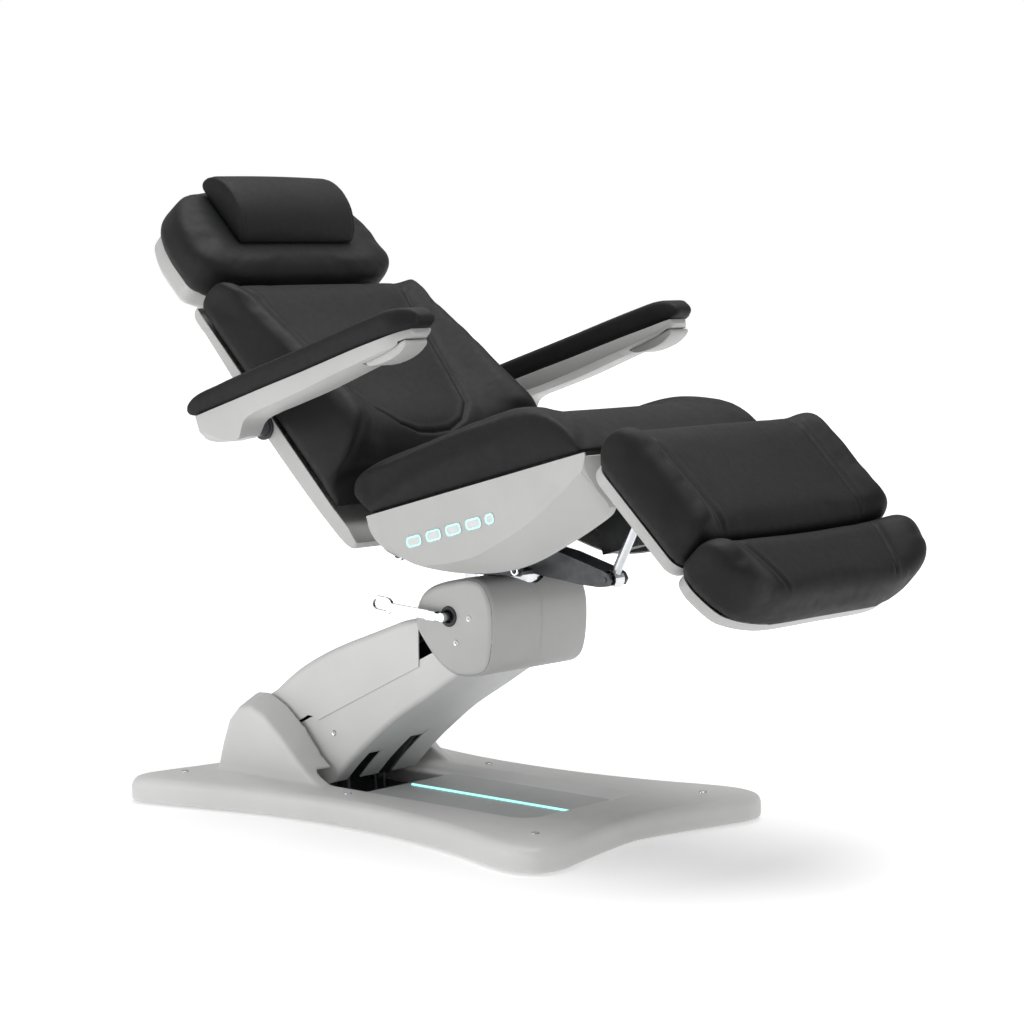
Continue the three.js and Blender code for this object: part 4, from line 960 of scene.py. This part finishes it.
ARM_STATIONS = [
    (-13.5, 45.6, 14, 16, 8, 6, 0), (-10, 45.4, 11, 2, -4, 10, 0), (2, 45, 4, -8, -13, 14, 0),
    (22, 44.2, -8, -17, -21, 18, 0), (54, 42.7, -28, -8, -27, 26, 0), (72, 41.9, -35, 0, -31, 30, 0),
    (86, 41.2, -36, 4, -31, 30, 0), (98, 40.6, -24, 7, -18, 28, 0), (114, 39.9, -6, 8, -7, 24, 0),
    (149, 38.4, 0, 7, -5, 22, 0), (200, 36.2, -1, 4, -7, 22, 0), (298, 31.2, -2, 2, -10, 22, 0),
    (385, 28, -1, 2, -9, 22, 0), (447, 25.6, -2, 2, -8, 22, 0), (500, 22.8, -3, 3, -7, 20, 2),
    (536, 21.6, -1, 6, -5, 18, 8), (558, 21, 5, 10, 1, 14, 18), (571, 20.6, 15, 16, 11, 8, 30),
]
ARM_PAD = [(-39, 55), (-38, 70), (-15, 83), (62, 84), (326, 75), (480, 69), (558, 64), (582, 56),
           (595, 41), (597, 27), (580, 21.2), (510, 23.4), (444, 26.9), (306, 31.9), (170, 37.9),
           (71, 42.9), (-22, 48)]
PADDLE = [(449, 3), (451, -10), (470, -16.5), (500, -19.5), (530, -17.5), (549, -11.5), (560, -4.5),
          (560, 3)]


def arm_section(sign, top, outer_crease, inner_crease, bottom, inset, trim):
    inner, outer = ARM_INNER + trim * 0.3, ARM_OUTER - trim
    points = [(inner, top), (inner, inner_crease), (inner + inset, bottom), (outer - inset, bottom),
              (outer, outer_crease), (outer, top)]
    return [(sign * y, b) for y, b in points]


def arm_pad_form(a, y, b):
    """Rounds the front end in plan, most of all at the outer corner."""
    out = np.abs(y) - ARM_MIDDLE
    tip = np.clip((a - 525) / 62, 0, 1) ** 2
    out = out * np.where(out > 0, 1 - 0.62 * tip, 1 - 0.22 * tip)
    return a, np.sign(y) * (ARM_MIDDLE + out), b


def armrest(sign, side):
    bm = bmesh.new()
    rings = []
    for a, *section in smooth_run(ARM_STATIONS, 12):
        rings.append([bm.verts.new(ARM(a, y, b)) for y, b in arm_section(sign, *section)])
    for low, high in zip(rings, rings[1:]):
        for i in range(6):
            j = (i + 1) % 6
            bm.faces.new((low[i], low[j], high[j], high[i]))
    bm.faces.new(rings[0])
    bm.faces.new(rings[-1])
    # The arm body takes the darker painted-shade copy of the shell plastic.
    shell = new_object(f"arm_body_{side}", bm, PAINTED_SHADE_SHELL)
    modifier(shell, "BEVEL", width=4 * MM, segments=4, limit_method="ANGLE",
             angle_limit=math.radians(25), use_clamp_overlap=True)
    applied(shell)
    combine(shell, [block(445, 564, sign * ARM_MIDDLE - 34, sign * ARM_MIDDLE + 34, -30, 5, ARM)],
            "DIFFERENCE")
    shade(shell, 40)
    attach(shell, f"arm_{side}")
    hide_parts(f"arm_shell_{side}")
    y0, y1 = sorted((sign * (ARM_INNER + 14), sign * (ARM_OUTER - 14)))
    # The release paddle also takes the darker painted-shade copy of the shell plastic.
    paddle = new_object(f"arm_paddle_{side}", prism(smooth_loop(PADDLE, (0, 7)), y0, y1, ARM),
                        PAINTED_SHADE_SHELL)
    rounded(paddle, 6, 5)
    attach(paddle, f"arm_release_{side}")
    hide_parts(f"arm_release_{side}")
    y0, y1 = sorted((sign * (ARM_INNER - 2), sign * (ARM_OUTER + 2)))
    cushion(f"arm_cushion_{side}", prism(smooth_loop(ARM_PAD, (10, 16)), y0, y1, ARM), ARM, -1e3,
            f"arm_{side}", f"arm_pad_{side}", arm_pad_form, bevel=13, voxel=5, swell=4)
    y0, y1 = sorted((sign * 291.5, sign * 298))
    gasket = new_object(f"arm_gasket_{side}", disc(ARM_BOSS, 27, y0, y1, BACK, across=True), BLACK,
                        "back")
    rounded(gasket, 2)


# ------------------------------------------------------------------ stage

CAMERA = {"lens": 99.90, "location": (3.866057, -4.281714, 1.171876), "azimuth": 40.697, "down": 5.529}


def camera():
    data = bpy.data.cameras.new("camera")
    data.lens = CAMERA["lens"]
    data.sensor_width = 36
    obj = bpy.data.objects.new("camera", data)
    obj.location = CAMERA["location"]
    az, el = math.radians(CAMERA["azimuth"]), math.radians(CAMERA["down"])
    back = Vector((math.sin(az) * math.cos(el), -math.cos(az) * math.cos(el), math.sin(el)))
    obj.rotation_mode = "QUATERNION"
    obj.rotation_quaternion = (-back).to_track_quat("-Z", "Y")
    bpy.context.scene.collection.objects.link(obj)
    bpy.context.scene.camera = obj


def softbox(name, location, target, size, power):
    data = bpy.data.lights.new(name, "AREA")
    data.shape = "DISK"
    data.size = size
    data.energy = power
    obj = bpy.data.objects.new(name, data)
    obj.location = location
    obj.rotation_mode = "QUATERNION"
    obj.rotation_quaternion = (Vector(target) - Vector(location)).to_track_quat("-Z", "Y")
    bpy.context.scene.collection.objects.link(obj)


FLOOR_RADIUS = 30000


def studio():
    n = Nodes("floor")
    n.set("Base Color", n.mix(n.ramp(n.noise(0.6, 2.0), 0.0, 1.0), srgb(226, 226, 226),
                              srgb(222, 222, 222)))
    n.set("Roughness", n.ramp(n.noise(3.0, 2.0), 0.75, 0.85))
    # The floor glows more the farther it lies from the bed: painted light that fades the floor into the
    # white backdrop and leaves it darker round the bed.
    n.set("Emission Color", (1, 1, 1, 1))
    reach = n.add("VectorMath", {0: n.coord}, operation="LENGTH").outputs["Value"]
    n.set("Emission Strength", n.ramp(reach, 0.38, 0.9, 0.8, 2.6))
    ring = [(FLOOR_RADIUS * math.cos(t), FLOOR_RADIUS * math.sin(t)) for t in
            (2 * math.pi * i / 64 for i in range(64))]
    floor = new_object("floor", slab(ring, -20, -1, WORLD), n.material)
    world = bpy.data.worlds.new("studio")
    world.use_nodes = True
    bpy.context.scene.world = world
    background = world.node_tree.nodes["Background"]
    background.inputs["Color"].default_value = (1, 1, 1, 1)
    background.inputs["Strength"].default_value = 0.40
    seen = world.node_tree.nodes.new("ShaderNodeBackground")
    seen.inputs["Color"].default_value = (1, 1, 1, 1)
    seen.inputs["Strength"].default_value = 1.0
    path = world.node_tree.nodes.new("ShaderNodeLightPath")
    mix = world.node_tree.nodes.new("ShaderNodeMixShader")
    links = world.node_tree.links
    links.new(path.outputs["Is Camera Ray"], mix.inputs["Fac"])
    links.new(background.outputs[0], mix.inputs[1])
    links.new(seen.outputs[0], mix.inputs[2])
    links.new(mix.outputs[0], world.node_tree.nodes["World Output"].inputs["Surface"])
    softbox("top", (0.2, 0.2, 4.2), (0, 0, 0.4), 4.0, 165)
    softbox("side", (-1.8, -3.2, 0.9), (-0.1, 0, 0.1), 2.0, 27)
    scene = bpy.context.scene
    scene.view_settings.view_transform = "Standard"
    scene.view_settings.look = "None"


def dress_cad_nodes():
    """Every carried-over node takes the finish of its slot in the record."""
    for part in frame["record"]["subparts"]:
        material = SLOT_MATERIALS[part["material_slot"]]
        node = frame["nodes"][part["node"]]
        node.data.materials.clear()
        node.data.materials.append(material)


dress_cad_nodes()
camera()
studio()
base()
column()
pod()
seat_shell()
keypad()
rest_shells()
cushions()
for number, side_name in ((1, "left"), (-1, "right")):
    armrest(number, side_name)
